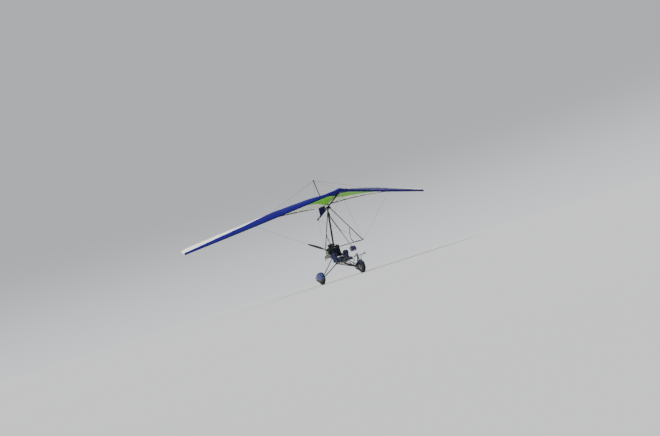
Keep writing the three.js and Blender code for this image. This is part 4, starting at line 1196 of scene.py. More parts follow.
def nose_fork():
    """Fork with telescopic legs, boots, axle nuts, foot rests, pedals and the brake cable."""
    shape = Shape()
    crown, axle = vec(0, -1.16, 0.44), vec(0, NOSE_AXLE_Y, WHEEL_RADIUS)
    shape.block(crown, (0.176, 0.052, 0.026), 0, 0.005, -math.atan2(0.03, 0.205), 3)
    shape.bar((0, -1.157, 0.446), HEAD_BOTTOM.lerp(HEAD_TOP, 0.83), 0.013, 24, paint=1)
    for _, side in SIDES:
        out = X_AXIS * side
        top, foot = crown + out * 0.076, axle + out * 0.076
        shape.bar(top + Z_AXIS * 0.018, foot, 0.012, 28, paint=1)
        shape.bar(top + Z_AXIS * 0.02, top - Z_AXIS * 0.03, 0.0155, 28)
        shape.bar(top.lerp(foot, 0.58), foot - Z_AXIS * 0.008, 0.0148, 28)
        boot = [top.lerp(foot, 0.3 + 0.3 * k / 16) for k in range(17)]
        shape.sweep(boot, [0.0135 if k % 2 else 0.0168 for k in range(17)], 24, paint=2)
        shape.band(axle, out, 0.066, 0.088, 0.0185, 28, 0)
        shape.bolt(axle + out * 0.088, out, 0.0095, 1)
        shape.bolt(top + Z_AXIS * 0.0185, Z_AXIS, 0.006, 1)
        shape.bar(vec(0, -1.16, 0.446) + out * 0.062, FOOT_BAR + out * 0.062, 0.011, 24)
        foot_rest(shape, side)
    shape.band(FOOT_BAR, X_AXIS, -0.236, 0.236, 0.0128, 28, 0)
    shape.band(axle, X_AXIS, -0.088, 0.088, 0.01, 24)
    cable = [(-0.15, -1.315, 0.606), (-0.1, -1.29, 0.56), (-0.078, -1.215, 0.5), (-0.09, -1.182, 0.42),
             (-0.0945, -1.172, 0.3), (-0.092, -1.17, 0.226)]
    shape.sweep(smooth_path(cable, 40), 0.0028, 8, paint=2)
    piece("fork", "nose_fork", shape, [GREY_TUBE, STEEL, RUBBER], ["nose_fork"])


def nose_mudguard():
    """Pressed mudguard: crowned across, with rolled edges, a lip at each end and its screws."""
    shape = Shape()
    centre = vec(0, NOSE_AXLE_Y, WHEEL_RADIUS)
    half = 0.0632
    rows = []
    for k in range(49):
        out = around(math.radians(28 + 120 * k / 48))
        ease = min(1, k / 3, (48 - k) / 3)
        across = []
        for s in (step / 10 for step in range(-10, 11)):
            drop = 0.0016 * s * s + 0.0035 * near(abs(s), 1.0, 0.06) + 0.0022 * (1 - ease)
            across.append((s * half, 0.217 - drop))
        across += [(x, r - 0.0026) for x, r in reversed(across)]
        rows.append([centre + X_AXIS * x + out * r for x, r in across])
    shape.skin(rows)
    for turn in (50, 90, 128):
        out = around(math.radians(turn))
        for x in (-0.045, 0.045):
            shape.bolt(centre + X_AXIS * x + out * 0.216, out, 0.0035, 1)
    piece("nose_mudguard_shell", "nose_fork", shape, [NAVY_SHELL, STEEL], ["nose_mudguard"],
          smooth=50)


def tyre_profile():
    """Section of the tyre from bead to bead: (radius, place across) in millimetres."""
    wall = [(98.5, -34), (102.5, -40), (116.5, -44.5), (128.5, -48.5), (132.5, -47.8), (136.5, -49.2),
            (150, -50), (164, -49.5), (176, -46), (186, -40), (191.5, -34.5)]
    tread = []
    for x in (-26, -9, 9, 26):
        crown = WHEEL_RADIUS / MM - 0.0046 * x * x
        tread += [(crown, x - 2.6), (crown - 4.2, x - 1.6), (crown - 4.2, x + 1.6), (crown, x + 2.6)]
    return wall + tread + [(r, -x) for r, x in reversed(wall)] + wall[:1]


def wheel(name, body, centre, bore, tyre_node, rim_node):
    """A ribbed tyre with shoulder blocks, on a bolted two-part rim with its valve."""
    tyre, rim = Shape(), Shape()
    tyre.lathe(tyre_profile(), centre, X_AXIS, 96)
    half_rim = [(bore, 40), (27, 40), (30, 37), (30.5, 18), (36, 12), (50, 8.5), (64, 10), (71, 18),
                (76, 30), (86, 33.5), (97.8, 37.5), (97.8, 35.5), (88.5, 31)]
    rim.lathe(half_rim + [(r, -x) for r, x in reversed(half_rim)] + half_rim[:1], centre, X_AXIS, 72)
    for out in (X_AXIS, -X_AXIS):
        for way, turn in spokes(36):
            tyre.block(centre + way * 0.184 + out * 0.0412, (0.0036, 0.01, 0.0075), 0, 0.0012, turn=turn)
        face = centre + out * 0.0092
        for way, _ in spokes(6):
            rim.bolt(face + way * 0.046, out, 0.0048, 1)
        for way, _ in spokes(6, math.pi / 6):
            hole = [(8, 0.5), (9.8, 1.8), (11.2, 0.5), (11.2, -1), (8, -1), (8, 0.5)]
            rim.lathe(hole, face + way * 0.056, out, 24)
            rim.lathe([(0, 0.2), (8.4, 0.2), (8.4, -1.5), (0, -1.5)], face + way * 0.056, out, 24, paint=2)
    way = around(0.6)
    valve = [centre + way * out + X_AXIS * x for out, x in ((0.08, 0.029), (0.076, 0.04), (0.075, 0.0455))]
    rim.sweep(valve, [0.0035, 0.003, 0.0038], 12, paint=2)
    piece(f"{name}_tyre_cover", body, tyre, [TYRE], [tyre_node], smooth=38)
    piece(f"{name}_rim_alloy", body, rim, [RIM, STEEL, PLASTIC], [rim_node], smooth=40)


def wheels():
    wheel("nose", "nose_wheel", vec(0, NOSE_AXLE_Y, WHEEL_RADIUS), 10.6, "nose_tyre", "nose_rim")
    for name, side in SIDES:
        centre = vec(side * HALF_TRACK, AXLE_Y, WHEEL_RADIUS)
        wheel(f"main_{name}", f"main_wheel_{name}", centre, 12.6, f"main_tyre_{name}", f"main_rim_{name}")


def finished(obj):
    """The object's mesh with its modifiers applied, as a Shape; the object is removed."""
    mesh = obj.evaluated_get(bpy.context.evaluated_depsgraph_get()).to_mesh()
    shape = Shape()
    shape.add([v.co.copy() for v in mesh.vertices], [list(f.vertices) for f in mesh.polygons])
    bpy.data.objects.remove(obj)
    return shape


def carved(shape, cutter):
    """The shape with the cutter's space taken away."""
    body, tool = made("body", shape), made("tool", cutter)
    cut = body.modifiers.new("cut", "BOOLEAN")
    cut.operation, cut.object, cut.solver = "DIFFERENCE", tool, "EXACT"
    rest = finished(body)
    bpy.data.objects.remove(tool)
    return rest


# Sections of a wheel spat: y, half width, top and bottom.
SPAT_ROWS = ((0.165, 0.022, 0.285, 0.195), (0.182, 0.046, 0.335, 0.14), (0.22, 0.062, 0.383, 0.108),
             (0.29, 0.069, 0.425, 0.096), (0.38, 0.07, 0.446, 0.092), (0.48, 0.07, 0.448, 0.092),
             (0.58, 0.067, 0.43, 0.098), (0.68, 0.056, 0.395, 0.125), (0.78, 0.04, 0.352, 0.162),
             (0.87, 0.022, 0.312, 0.204), (0.915, 0.008, 0.29, 0.236))
WELL_RADIUS, WELL_HALF = 0.206, 0.056


def hull_at(sections, y):
    """Half width, top and bottom of a spat at a place along it."""
    places = [row[0] for row in sections]
    return [float(np.interp(y, places, [row[i] for row in sections])) for i in (1, 2, 3)]


def belt_height(shape, face, sections):
    """Where a face lies round the hull: 1 at the top, 0 at the widest line, -1 at the bottom."""
    centre = sum((shape.points[i] for i in face), Vector()) / len(face)
    _, top, bottom = hull_at(sections, centre.y)
    share = (centre.z - (top + bottom) / 2) / ((top - bottom) / 2)
    return math.copysign(share * share, share)


def opening_edge(sections, centre_x, x, y):
    """A point of the hull's underside beside the wheel opening; x is the distance from its middle."""
    half, top, bottom = hull_at(sections, y)
    drop = (1 - min(abs(x) / half, 1) ** 4) ** 0.25
    return vec(centre_x + x, y, (top + bottom) / 2 - (top - bottom) / 2 * drop)


def opening_loop(sections, centre_x):
    """Points once round the edge of the wheel opening."""
    rim = [AXLE_Y - WELL_RADIUS + 2 * WELL_RADIUS * k / 32 for k in range(33)]
    across = [WELL_HALF - 2 * WELL_HALF * k / 8 for k in range(1, 8)]
    places = [(WELL_HALF, y) for y in rim] + [(x, rim[-1]) for x in across]
    places += [(-WELL_HALF, y) for y in reversed(rim)] + [(-x, rim[0]) for x in across]
    return [opening_edge(sections, centre_x, x, y) for x, y in places]


def spat(name, side):
    """Teardrop spat: blue above, with black paint below its belt that paints the shade of its lower half; its
    joint flange, screws and the edging round the wheel opening.
    """
    centre_x = side * HALF_TRACK
    hull, well, slot, trim = Shape(), Shape(), Shape(), Shape()
    sections = smooth_path(SPAT_ROWS, 72)
    rounded = lambda c: math.copysign(math.sqrt(abs(c)), c)
    hull.skin([[vec(centre_x + half * rounded(c), y, (top + bottom) / 2 + (top - bottom) / 2 * rounded(s))
                for c, s in circle(56, 0.01)] for y, half, top, bottom in sections])
    drum = [(0, -WELL_HALF), (WELL_RADIUS, -WELL_HALF), (WELL_RADIUS, WELL_HALF), (0, WELL_HALF)]
    well.lathe(drum, (centre_x, AXLE_Y, WHEEL_RADIUS), X_AXIS, 64, scale=1)
    slot.block((centre_x, AXLE_Y, 0.06), (2 * WELL_HALF, 2 * WELL_RADIUS, 0.28), corner=0.0005, segments=1)
    shell = carved(carved(hull, well), slot)
    # Faces below the belt get the black paint: painted shade on the spat's lower half.
    shell.paints = [1 if belt_height(shell, face, sections) < -0.11 else 0 for face in shell.faces]
    ridge = [vec(centre_x, y, top + 0.0004) for y, half, top, bottom in sections]
    bead = [(1, -0.4), (1, 0.25), (0.6, 0.45), (-0.6, 0.45), (-1, 0.25), (-1, -0.4)]
    trim.sweep(ridge[1:-1], 0.0045, outline=bead, up=Z_AXIS)
    trim.sweep(opening_loop(sections, centre_x), 0.0036, 8, paint=1, closed=True)
    for y, half, top, bottom in sections[9:55:9] + [sections[62]]:
        for way in (1, -1):
            screw = vec(centre_x + way * (half + 0.0002), y, (top + bottom) / 2 + 0.02)
            trim.bolt(screw, X_AXIS * way, 0.0036, 2)
    cap = [(0, 6.5), (14, 6), (24, 3), (30, 0.5), (30, -3), (0, -3)]
    hub = vec(centre_x + side * 0.07, AXLE_Y, WHEEL_RADIUS)
    trim.lathe(cap, hub, X_AXIS * side, 40, paint=2)
    piece(f"spat_shell_{name}", "trike", shell, [SHELL, SPAT_LOWER_SHADE_PAINT],
          [f"wheel_spat_{name}"], smooth=40)
    piece(f"spat_trim_{name}", "trike", trim, [SHELL, RUBBER, STEEL])


def main_gear(name, side):
    """Leg with knuckle and stub axle, upper strut, their end fittings and the brake hose."""
    leg, strut = Shape(), Shape()
    out = X_AXIS * side
    top, foot = vec(side * 0.02, 0.612, 0.566), vec(side * KNUCKLE_X, AXLE_Y, 0.222)
    way = (foot - top).normalized()
    sleeve = LEG_RADIUS + 0.0022
    leg.bar(top + way * 0.012, foot, LEG_RADIUS, 36)
    leg.band(top, way, 0.012, 0.07, sleeve)
    leg.band(foot, way, -0.085, -0.012, sleeve)
    for at in (top + way * 0.03, top + way * 0.056, foot - way * 0.05):
        leg.bolt(at + Z_AXIS * sleeve, Z_AXIS, 0.0055, 1, 0.038)
    leg.block((side * KNUCKLE_X, AXLE_Y, 0.238), (0.034, 0.064, 0.11), corner=0.004, segments=3)
    for y in (-0.021, 0.021):
        for z in (0.195, 0.281):
            leg.bolt((side * (KNUCKLE_X - 0.017), AXLE_Y + y, z), -out, 0.005, 1)
    leg.band(vec(0, AXLE_Y, WHEEL_RADIUS), out, KNUCKLE_X, HALF_TRACK + 0.057, 0.012, 28)
    hose = [top + way * s + vec(0, -0.021, 0.006) for s in (0.08, 0.3, 0.55, 0.7)]
    hose.append(vec(side * (KNUCKLE_X - 0.02), AXLE_Y - 0.026, 0.236))
    leg.sweep(smooth_path(hose, 36), 0.003, 8, paint=2)
    cable_ties(leg, [top + way * s for s in (0.16, 0.4, 0.62)], way, LEG_RADIUS + 0.0016)
    piece(f"main_leg_tube_{name}", "trike", leg, [DARK_TUBE, STEEL, RUBBER],
          [f"main_leg_{name}"])
    head, foot = vec(side * 0.01, mast_at(0.945).y, 0.945), vec(side * KNUCKLE_X, AXLE_Y, 0.268)
    way, reach = (foot - head).normalized(), (foot - head).length
    sleeve = LEG_STRUT_RADIUS + 0.0022
    strut.bar(head + way * 0.022, foot, LEG_STRUT_RADIUS, 36)
    for a, b in ((0.022, 0.085), (reach - 0.075, reach - 0.012)):
        strut.band(head, way, a, b, sleeve)
        strut.through(head + way * (a + b) / 2, -Y_AXIS, sleeve, 0.005)
    piece(f"main_strut_tube_{name}", "trike", strut, [DARK_TUBE, STEEL],
          [f"main_strut_{name}"])


RAIL_X = 0.165


def rail_path(side):
    """Course of a seat rail from its rear end forward; both rails meet on the centre line."""
    course = [(0, 0.577, 0.676), (0.06, 0.54, 0.672), (0.15, 0.47, 0.662), (RAIL_X, 0.38, 0.65),
              (RAIL_X, -0.1, 0.59), (RAIL_X, -0.44, 0.548), (0.14, -0.54, 0.52), (0.06, -0.6, 0.42),
              (0, -0.64, 0.335)]
    return smooth_path(mirrored(course, side), 90)


def seat_frame():
    """Seat rails with their saddles, the back hoop and the webbing laced across it."""
    for name, side in SIDES:
        shape = Shape()
        path = rail_path(side)[3:-2]
        shape.sweep(path, RAIL_RADIUS, 24)
        for i in (22, 50):
            way = (path[i + 1] - path[i]).normalized()
            shape.band(path[i], way, -0.014, 0.014, RAIL_RADIUS + 0.003, 28)
            shape.through(path[i], X_AXIS * side, RAIL_RADIUS + 0.003, 0.0042)
        piece(f"seat_rail_tube_{name}", "trike", shape, [DARK_TUBE, STEEL],
              [f"seat_rail_{name}"])
    hoop = Shape()
    half = [(RAIL_X, 0.335, 0.646), (RAIL_X - 0.005, 0.338, 0.8), (RAIL_X - 0.012, 0.344, 1.1),
            (0.11, 0.347, 1.215)]
    points = half + [(0, 0.348, 1.245)] + [(-x, y, z) for x, y, z in reversed(half)]
    hoop.sweep(smooth_path(points, 80), HOOP_RADIUS, 22)
    for x, y, z in ((RAIL_X - 0.004, 0.338, 0.72), (RAIL_X - 0.013, 0.344, 1.12)):
        for _, side in SIDES:
            at = vec(side * x, y, z)
            hoop.band(at, Z_AXIS, -0.018, 0.018, HOOP_RADIUS + 0.0035, 24)
            hoop.bolt(at + Y_AXIS * (HOOP_RADIUS + 0.0035), Y_AXIS, 0.004, 1)
    end = RAIL_X - 0.002
    for z in (0.84, 0.93, 1.02):
        lace = [(-end, 0.3515, z), (-0.06, 0.3425, z + 0.004), (0.06, 0.3425, z - 0.004), (end, 0.3515, z)]
        hoop.sweep(lace, 0.019, outline=strap(0.07), up=Y_AXIS, paint=2)
    piece("seat_hoop_tube", "trike", hoop, [DARK_TUBE, STEEL, WEBBING], ["seat_hoop"])


def soft_block(centre, size, tilt, puff, reach):
    """A pad blown up by a cloth simulation from a rounded block, and the matrix that sets it in place."""
    start = Shape()
    start.block((0, 0, 0), tuple(s - 2 * puff for s in size), corner=min(size) * 0.28 - puff, segments=3)
    obj = made("pad", start)
    remesh = obj.modifiers.new("remesh", "REMESH")
    remesh.mode, remesh.voxel_size = "VOXEL", 0.0075
    pad = made("pad", finished(obj))
    before = np.array([v.co for v in pad.data.vertices])
    simulate(pad)
    after = np.array([v.co for v in pad.data.vertices])
    move = after - before
    far = np.linalg.norm(move, axis=1, keepdims=True)
    capped = before + move * np.minimum(1, reach / np.maximum(far, 1e-9))
    pad.data.vertices.foreach_set("co", capped.ravel())
    finer = pad.modifiers.new("finer", "SUBSURF")
    finer.levels = finer.render_levels = 1
    return finished(pad), Matrix.Translation(centre) @ Matrix.Rotation(tilt, 4, "X")


def simulate(obj):
    """Blows the closed mesh up as cloth, with gravity off, and keeps the last frame's shape."""
    cloth = obj.modifiers.new("cloth", "CLOTH")
    cloth.settings.use_pressure = True
    cloth.settings.uniform_pressure_force = 4.0
    cloth.settings.effector_weights.gravity = 0
    cloth.settings.quality = 5
    scene = bpy.context.scene
    for step in range(1, 21):
        scene.frame_set(step)
    shaped = obj.evaluated_get(bpy.context.evaluated_depsgraph_get()).to_mesh()
    places = np.empty(len(shaped.vertices) * 3)
    shaped.vertices.foreach_get("co", places)
    obj.modifiers.remove(cloth)
    obj.data.vertices.foreach_set("co", places)
    obj.data.update()
    scene.frame_set(1)


def sewn(shape, axis, seams):
    """Pulls both faces in along sewn channels: axis 2 is a cushion, axis 1 an upright pad."""
    across, depth, width = (0, 0.006, 0.005) if axis == 2 else (2, 0.005, 0.006)
    for p in shape.points:
        for place in seams:
            p[axis] -= math.copysign(depth * near(p[across], place, width), p[axis])


def welts(shape, axis, height, radius, sides):
    """Two cords laid round a pad, at a height on either side of its middle along an axis."""
    tree = BVHTree.FromPolygons(shape.points, shape.faces)
    cords = Shape()
    for place in (height, -height):
        path = []
        for c, s in circle(sides):
            way, origin = [c, s], [0, 0]
            way.insert(axis, 0)
            origin.insert(axis, place)
            way = Vector(way)
            path.append(tree.ray_cast(Vector(origin) + way, -way)[0])
        cords.sweep(path, radius, 10, closed=True)
    return cords


# Seat pads: name, node, centre, size, tilt, axis through the pad, seams and height of the welts.
SEAT_PADS = (
    ("rear_seat_pad", "seat_rear_cushion", (0, 0.125, 0.684), (0.35, 0.345, 0.12), RAIL_TILT,
     2, (-0.06, 0.06), 0.04),
    ("rear_back_pad", "seat_rear_back", (0, 0.306, 1.002), (0.35, 0.06, 0.45), -0.02,
     1, (-0.1125, 0, 0.1125), 0.014),
    ("front_seat_pad", "seat_front_cushion", (0, -0.3, 0.616), (0.35, 0.36, 0.09), RAIL_TILT,
     2, (-0.06, 0.06), 0.026),
    ("front_back_pad", "seat_front_back", (0, -0.0756, 0.683), (0.34, 0.052, 0.17), RAIL_TILT,
     1, (0,), 0.012),
)


def seats():
    for name, node, centre, size, tilt, axis, seams, height in SEAT_PADS:
        shape, turn = soft_block(centre, size, tilt, 0.008, 0.016)
        sewn(shape, axis, seams)
        cords = welts(shape, axis, height, 0.0032, 72)
        for part in (shape, cords):
            part.points = [turn @ p for p in part.points]
        pad = piece(name, "trike", shape, [SEAT_CLOTH], [node], smooth=180)
        piece(f"{name}_welts", "trike", cords, [PIPING], smooth=60)
    lap_belts()


def lap_belts():
    """Lap belts lying on the two seats, each with its buckle."""
    tilt = math.radians(6)
    for name, y, top in (("rear", 0.19, 0.76), ("front", -0.205, 0.678)):
        shape = Shape()
        course = [(0.176, y + 0.045, top - 0.125), (0.188, y + 0.03, top - 0.07),
                  (0.168, y + 0.01, top - 0.008), (0.11, y - 0.02, top + 0.012),
                  (0.026, y - 0.045, top + 0.011)]
        for _, side in SIDES:
            path = smooth_path(mirrored(course, side), 30)
            shape.sweep(path, 0.022, outline=strap(0.05), up=vec(side * 0.35, 0, 1))
        shape.block((0, y - 0.048, top + 0.013), (0.058, 0.046, 0.011), 1, 0.003, tilt, 3)
        shape.block((0, y - 0.048, top + 0.0185), (0.03, 0.024, 0.004), 2, 0.0015, tilt)
        piece(f"{name}_lap_belt", "trike", shape, [WEBBING, STEEL, RED_PLASTIC])


def fuel_tank():
    """Moulded tank with ribs, filler cap, sight lines, straps and the outlet hose."""
    shape = Shape()
    middle = (0, 0.13, 0.574)
    turn = Matrix.Translation(middle) @ Matrix.Rotation(RAIL_TILT, 4, "X")
    at = lambda x, y, z: turn @ vec(x, y, z)
    shape.block(middle, (0.294, 0.326, 0.086), 0, 0.02, RAIL_TILT, 5)
    for y in (-0.105, -0.035, 0.035, 0.105):
        for x in (-0.1475, 0.1475):
            shape.block(at(x, y, 0), (0.006, 0.018, 0.062), 0, 0.0025, RAIL_TILT)
    shape.block(middle, (0.2985, 0.33, 0.007), 0, 0.002, RAIL_TILT)
    half = [(-0.1505, 0.04), (-0.1512, 0), (-0.1505, -0.038), (-0.13, -0.0455)]
    for y in (-0.075, 0.085):
        belt = [at(x, y, z) for x, z in half] + [at(-x, y, z) for x, z in reversed(half)]
        shape.sweep(belt, 0.0125, outline=strap(0.08), up=turn.to_3x3() @ Y_AXIS, paint=1)
    shape.bar(at(0.148, -0.13, 0.012), at(0.176, -0.13, 0.02), 0.024, 32, paint=1)
    cap = [at(0.15, -0.13, 0.012), at(0.17, -0.13, 0.018), at(0.184, -0.13, 0.022)]
    shape.sweep(cap, [0.026, 0.03, 0.028], outline=pleated(48), paint=2)
    hose = [at(-0.06, 0.163, 0), at(-0.06, 0.2, 0.01), (-0.055, 0.4, 0.64), (-0.06, 0.5, 0.76),
            (-0.108, 0.56, 0.9)]
    shape.sweep(smooth_path(hose, 60), 0.0045, 12, paint=1)
    piece("fuel_tank_moulding", "trike", shape, [TANK, RUBBER, RED_PLASTIC], ["fuel_tank"],
          smooth=40)


def bag_flap(side, outer):
    """Rows of a flap that lies over the bag's top and hangs down its outer face."""
    rows = []
    for k in range(15):
        drop = k / 14
        z = 0.172 - 0.135 * drop if drop > 0.12 else 0.18 - 0.02 * drop
        x = outer * (0.35 + 0.72 * min(1, drop * 6)) + side * 0.004 * math.sin(drop * 4)
        row = [vec(x + side * 0.0014 * math.sin(9 * s + drop * 5), s * 0.136, z - 0.01 * abs(s) ** 3)
               for s in (-1 + 2 * i / 16 for i in range(17))]
        rows.append(row + [p - vec(side * 0.0035, 0, 0) for p in reversed(row)])
    return rows


def panniers():
    """Soft side bags: a sagging body, a flap, light piping, straps and buckles."""
    for name, side in SIDES:
        shape, turn = soft_block((side * 0.2223, 0.12, 0.765), (0.09, 0.29, 0.35), RAIL_TILT, 0.007, 0.014)
        for p in shape.points:
            p.z -= 0.006 * near(p.y, 0, 0.12) * (1 if p.z > 0.12 else 0)
            p.x += side * 0.004 * near(p.z, -0.1, 0.09) * (1 if p.x * side > 0 else 0)
        cords, trim = welts(shape, 0, 0.03, 0.003, 96), Shape()
        outer = side * 0.0455
        trim.skin(bag_flap(side, outer))
        for y in (-0.075, 0.075):
            path = [(outer * x, y, z) for x, z in
                    ((-0.7, 0.168), (-0.2, 0.181), (0.8, 0.174), (1.16, 0.12), (1.2, 0), (1.12, -0.12))]
            trim.sweep(smooth_path(path, 30), 0.0125, outline=strap(0.1), up=vec(side, 0, 0.25), paint=1)
            trim.block((outer * 1.24, y, 0.02), (0.008, 0.034, 0.026), 2, 0.0025, segments=3)
            trim.block((outer * 1.3, y, 0.02), (0.004, 0.02, 0.014), 2, 0.0015)
        for part in (shape, trim, cords):
            part.points = [turn @ p for p in part.points]
        bag = piece(f"pannier_bag_{name}", "trike", shape, [BAG_CLOTH], [f"pannier_{name}"],
                    smooth=180)
        piece(f"pannier_trim_{name}", "trike", trim, [BAG_CLOTH, WEBBING, PLASTIC], smooth=50)
        piece(f"pannier_piping_{name}", "trike", cords, [PIPING])


def dial(shape, at, up, x, pointer):
    """Bezel, face, eleven marks and the pointer of one instrument."""
    bezel = [(26, 0), (31, 0), (31, 4), (28.5, 6), (26, 4), (26, 0)]
    shape.lathe(bezel, at(x, 0, 0.074), up, 48, paint=1)
    shape.lathe([(0, 2.2), (26.2, 2.2), (26.2, 0), (0, 0)], at(x, 0, 0.0745), up, 48, paint=2)
    on_face = lambda r, turn, z: at(x + r * math.sin(turn), r * math.cos(turn), z)
    for k in range(11):
        turn = math.radians(-135 + 27 * k)
        shape.sweep([on_face(0.0185, turn, 0.0769), on_face(0.0235, turn, 0.0769)], 0.0006, 6, paint=3)
    hand = [on_face(0, 0, 0.0772), on_face(0.019, math.radians(pointer), 0.0772)]
    shape.sweep(hand, [0.0014, 0.0006], 6, paint=3)


def instrument_pod():
    """Moulded pod clasped on the strut, with two dials, switches and a key lock."""
    shape = Shape()
    tilt = -math.atan2(STRUT_TOP.y - STRUT_FOOT.y, STRUT_TOP.z - STRUT_FOOT.z)
    turn = Matrix.Translation((0, -0.975, 0.878)) @ Matrix.Rotation(tilt, 4, "X")
    at = lambda x, y, z: turn @ vec(x, y, z)
    up = turn.to_3x3() @ Z_AXIS
    shape.block(at(0, 0, 0), (0.21, 0.11, 0.146), 0, 0.022, tilt, 6)
    shape.block(at(0, 0, 0.0735), (0.186, 0.088, 0.003), 1, 0.001, tilt)
    for x, pointer in ((-0.06, -60), (0.06, 25)):
        dial(shape, at, up, x, pointer)
        for y in (-0.037, 0.037):
            shape.bolt(at(x * 1.32, y, 0.075), up, 0.0028, 4)
    for x, z in ((-0.07, 0.026), (-0.044, 0.034), (0.044, 0.026), (0.07, 0.034)):
        shape.bar(at(x, 0.053, 0.03), at(x, 0.059, 0.03), 0.007, 20, paint=4)
        shape.sweep([at(x, 0.058, 0.03), at(x, 0.07, z)], [0.0024, 0.0032], 10, paint=4)
    shape.bar(at(0.057, 0.053, -0.02), at(0.057, 0.061, -0.02), 0.011, 28, paint=4)
    for x in (-0.03, 0.03):
        shape.block(at(x, 0.056, 0), (0.012, 0.008, 0.12), 1, 0.002, tilt)
    for z in (-0.066, 0.072):
        shape.bar(at(0, -0.004, z - 0.006), at(0, -0.004, z + 0.006), 0.0245, 36, paint=1)
    piece("instrument_pod_shell", "trike", shape,
          [NAVY_SHELL, PLASTIC, DIAL, MARKS, STEEL], ["instrument_pod"], smooth=40)


CYLINDERS = (0.608, 0.736)


def engine_cylinder(shape, y):
    """One finned cylinder with its head, stud nuts, plug, cap and lead."""
    shape.bar((0, y, 1.072), (0, y, 1.29), 0.044, 40)
    fin = [(sx * 48 + 20 * math.cos(t), sy * 39 + 20 * math.sin(t))
           for sx, sy, first in ((1, 1, 0), (-1, 1, 90), (-1, -1, 180), (1, -1, 270))
           for t in (math.radians(first + step) for step in (0, 30, 60, 90))]
    for k in range(19):
        shape.plate(fin, 0.0024, (0, y, 1.102 + 0.00867 * k), X_AXIS, Y_AXIS)
    shape.block((0, y, 1.27), (0.104, 0.1, 0.01))
    for k in range(9):
        tall = 0.036 - 0.0022 * abs(k - 4)
        shape.block((-0.056 + 0.014 * k, y, 1.276 + tall / 2), (0.0026, 0.106, tall), 0, 0.0008, segments=1)
    for x in (-0.049, 0.049):
        for stud_y in (y - 0.04, y + 0.04):
            shape.bar((x, stud_y, 1.262), (x, stud_y, 1.3), 0.0055, 14, paint=1)
            shape.bolt((x, stud_y, 1.3), Z_AXIS, 0.0055, 1)
    plug = [(0, 34), (7.5, 32), (7.5, 10), (11.5, 8), (11.5, 0), (0, 0)]
    shape.lathe(plug, (0, y, 1.306), Z_AXIS, 20, paint=2)
    lead = [(0, y, 1.336), (0.01, y - 0.004, 1.343), (0.034, y - 0.014, 1.333), (0.072, y - 0.03, 1.27),
            (0.084, y - 0.04, 1.18), (0.08, 0.56, 1.06)]
    shape.sweep(smooth_path(lead, 40), 0.0036, 10, paint=2)


def engine():
    """Two-cylinder engine: ribbed crankcase, starter, cylinders, pump, coils and bolts."""
    shape = Shape()
    shape.block((0, 0.674, 0.9715), (0.2, 0.248, 0.196), 0, 0.016, 0, 4)
    shape.block((0, 0.674, 0.9715), (0.21, 0.252, 0.016), 0, 0.003)
    shape.block((0, 0.672, 1.076), (0.15, 0.248, 0.016), 0, 0.003)
    for _, side in SIDES:
        for k in range(6):
            y = 0.57 + 0.0415 * k
            for z, tall in ((0.926, 0.066), (1.018, 0.06)):
                shape.block((side * 0.1005, y, z), (0.009, 0.006, tall), 0, 0.0015)
            shape.bolt((side * 0.0985, y + 0.0205, 0.98), Z_AXIS, 0.0042, 1, 0.018)
        for y in (0.565, 0.785):
            shape.block((side * 0.086, y, 0.88), (0.036, 0.03, 0.016), 0, 0.003)
            shape.bolt((side * 0.09, y, 0.888), Z_AXIS, 0.006, 1)
    starter_cover(shape)
    for y in CYLINDERS:
        engine_cylinder(shape, y)
    pump = [(0, -26), (20, -25), (26, -20), (26, -12), (30, -11), (30, -7), (26, -6), (26, 4), (0, 4)]
    shape.lathe(pump, (-0.1, 0.575, 0.985), X_AXIS, 32, paint=2)
    for y in (0.64, 0.7):
        shape.block((0.112, y, 1.02), (0.022, 0.04, 0.034), 2, 0.004)
        shape.bolt((0.1235, y - 0.014, 1.02), X_AXIS, 0.0032, 1)
    piece("engine_block", "trike", shape, [ENGINE, STEEL, RUBBER], ["engine"], smooth=32)


def starter_cover(shape):
    """Round pull-starter housing on the engine's front, with slots and its handle."""
    centre = vec(0, 0.538, 0.985)
    cover = [(0, 3), (26, 3), (32, 1), (36, -2), (60, -3), (69, -7), (74, -14), (74, -40), (0, -40)]
    shape.lathe(cover, centre, -Y_AXIS, 64)
    for out, turn in spokes(16, axis="Y"):
        slot = centre + out * 0.049 + Y_AXIS * 0.0012
        shape.block(slot, (0.024, 0.003, 0.0055), 2, 0.0012, turn=turn)
    for turn in (0.6, 2.2, 3.8, 5.4):
        out = around(turn, "Y")
        shape.bolt(centre + out * 0.071 + Y_AXIS * 0.012, -Y_AXIS, 0.0036, 1)
    shape.bar((0.074, 0.556, 1.04), (0.092, 0.556, 1.05), 0.007, 16, paint=2)
    shape.bar((0.092, 0.532, 1.051), (0.092, 0.58, 1.051), 0.0068, 16, paint=2)


def gearbox_outline(grow):
    """Round the lower drum, then round the upper one: (x, z), moved outward by grow."""
    low, high = (0.975, 0.0795), (HUB.z, 0.0615)
    lean = math.acos((low[1] - high[1]) / (high[0] - low[0]))
    points = []
    for (centre, radius), start, end in ((high, math.pi / 2 - lean, math.pi / 2 + lean),
                                         (low, math.pi / 2 + lean, 2.5 * math.pi - lean)):
        turns = [start + (end - start) * k / 22 for k in range(23)]
        points += [((radius + grow) * math.cos(t), centre + (radius + grow) * math.sin(t)) for t in turns]
    return points


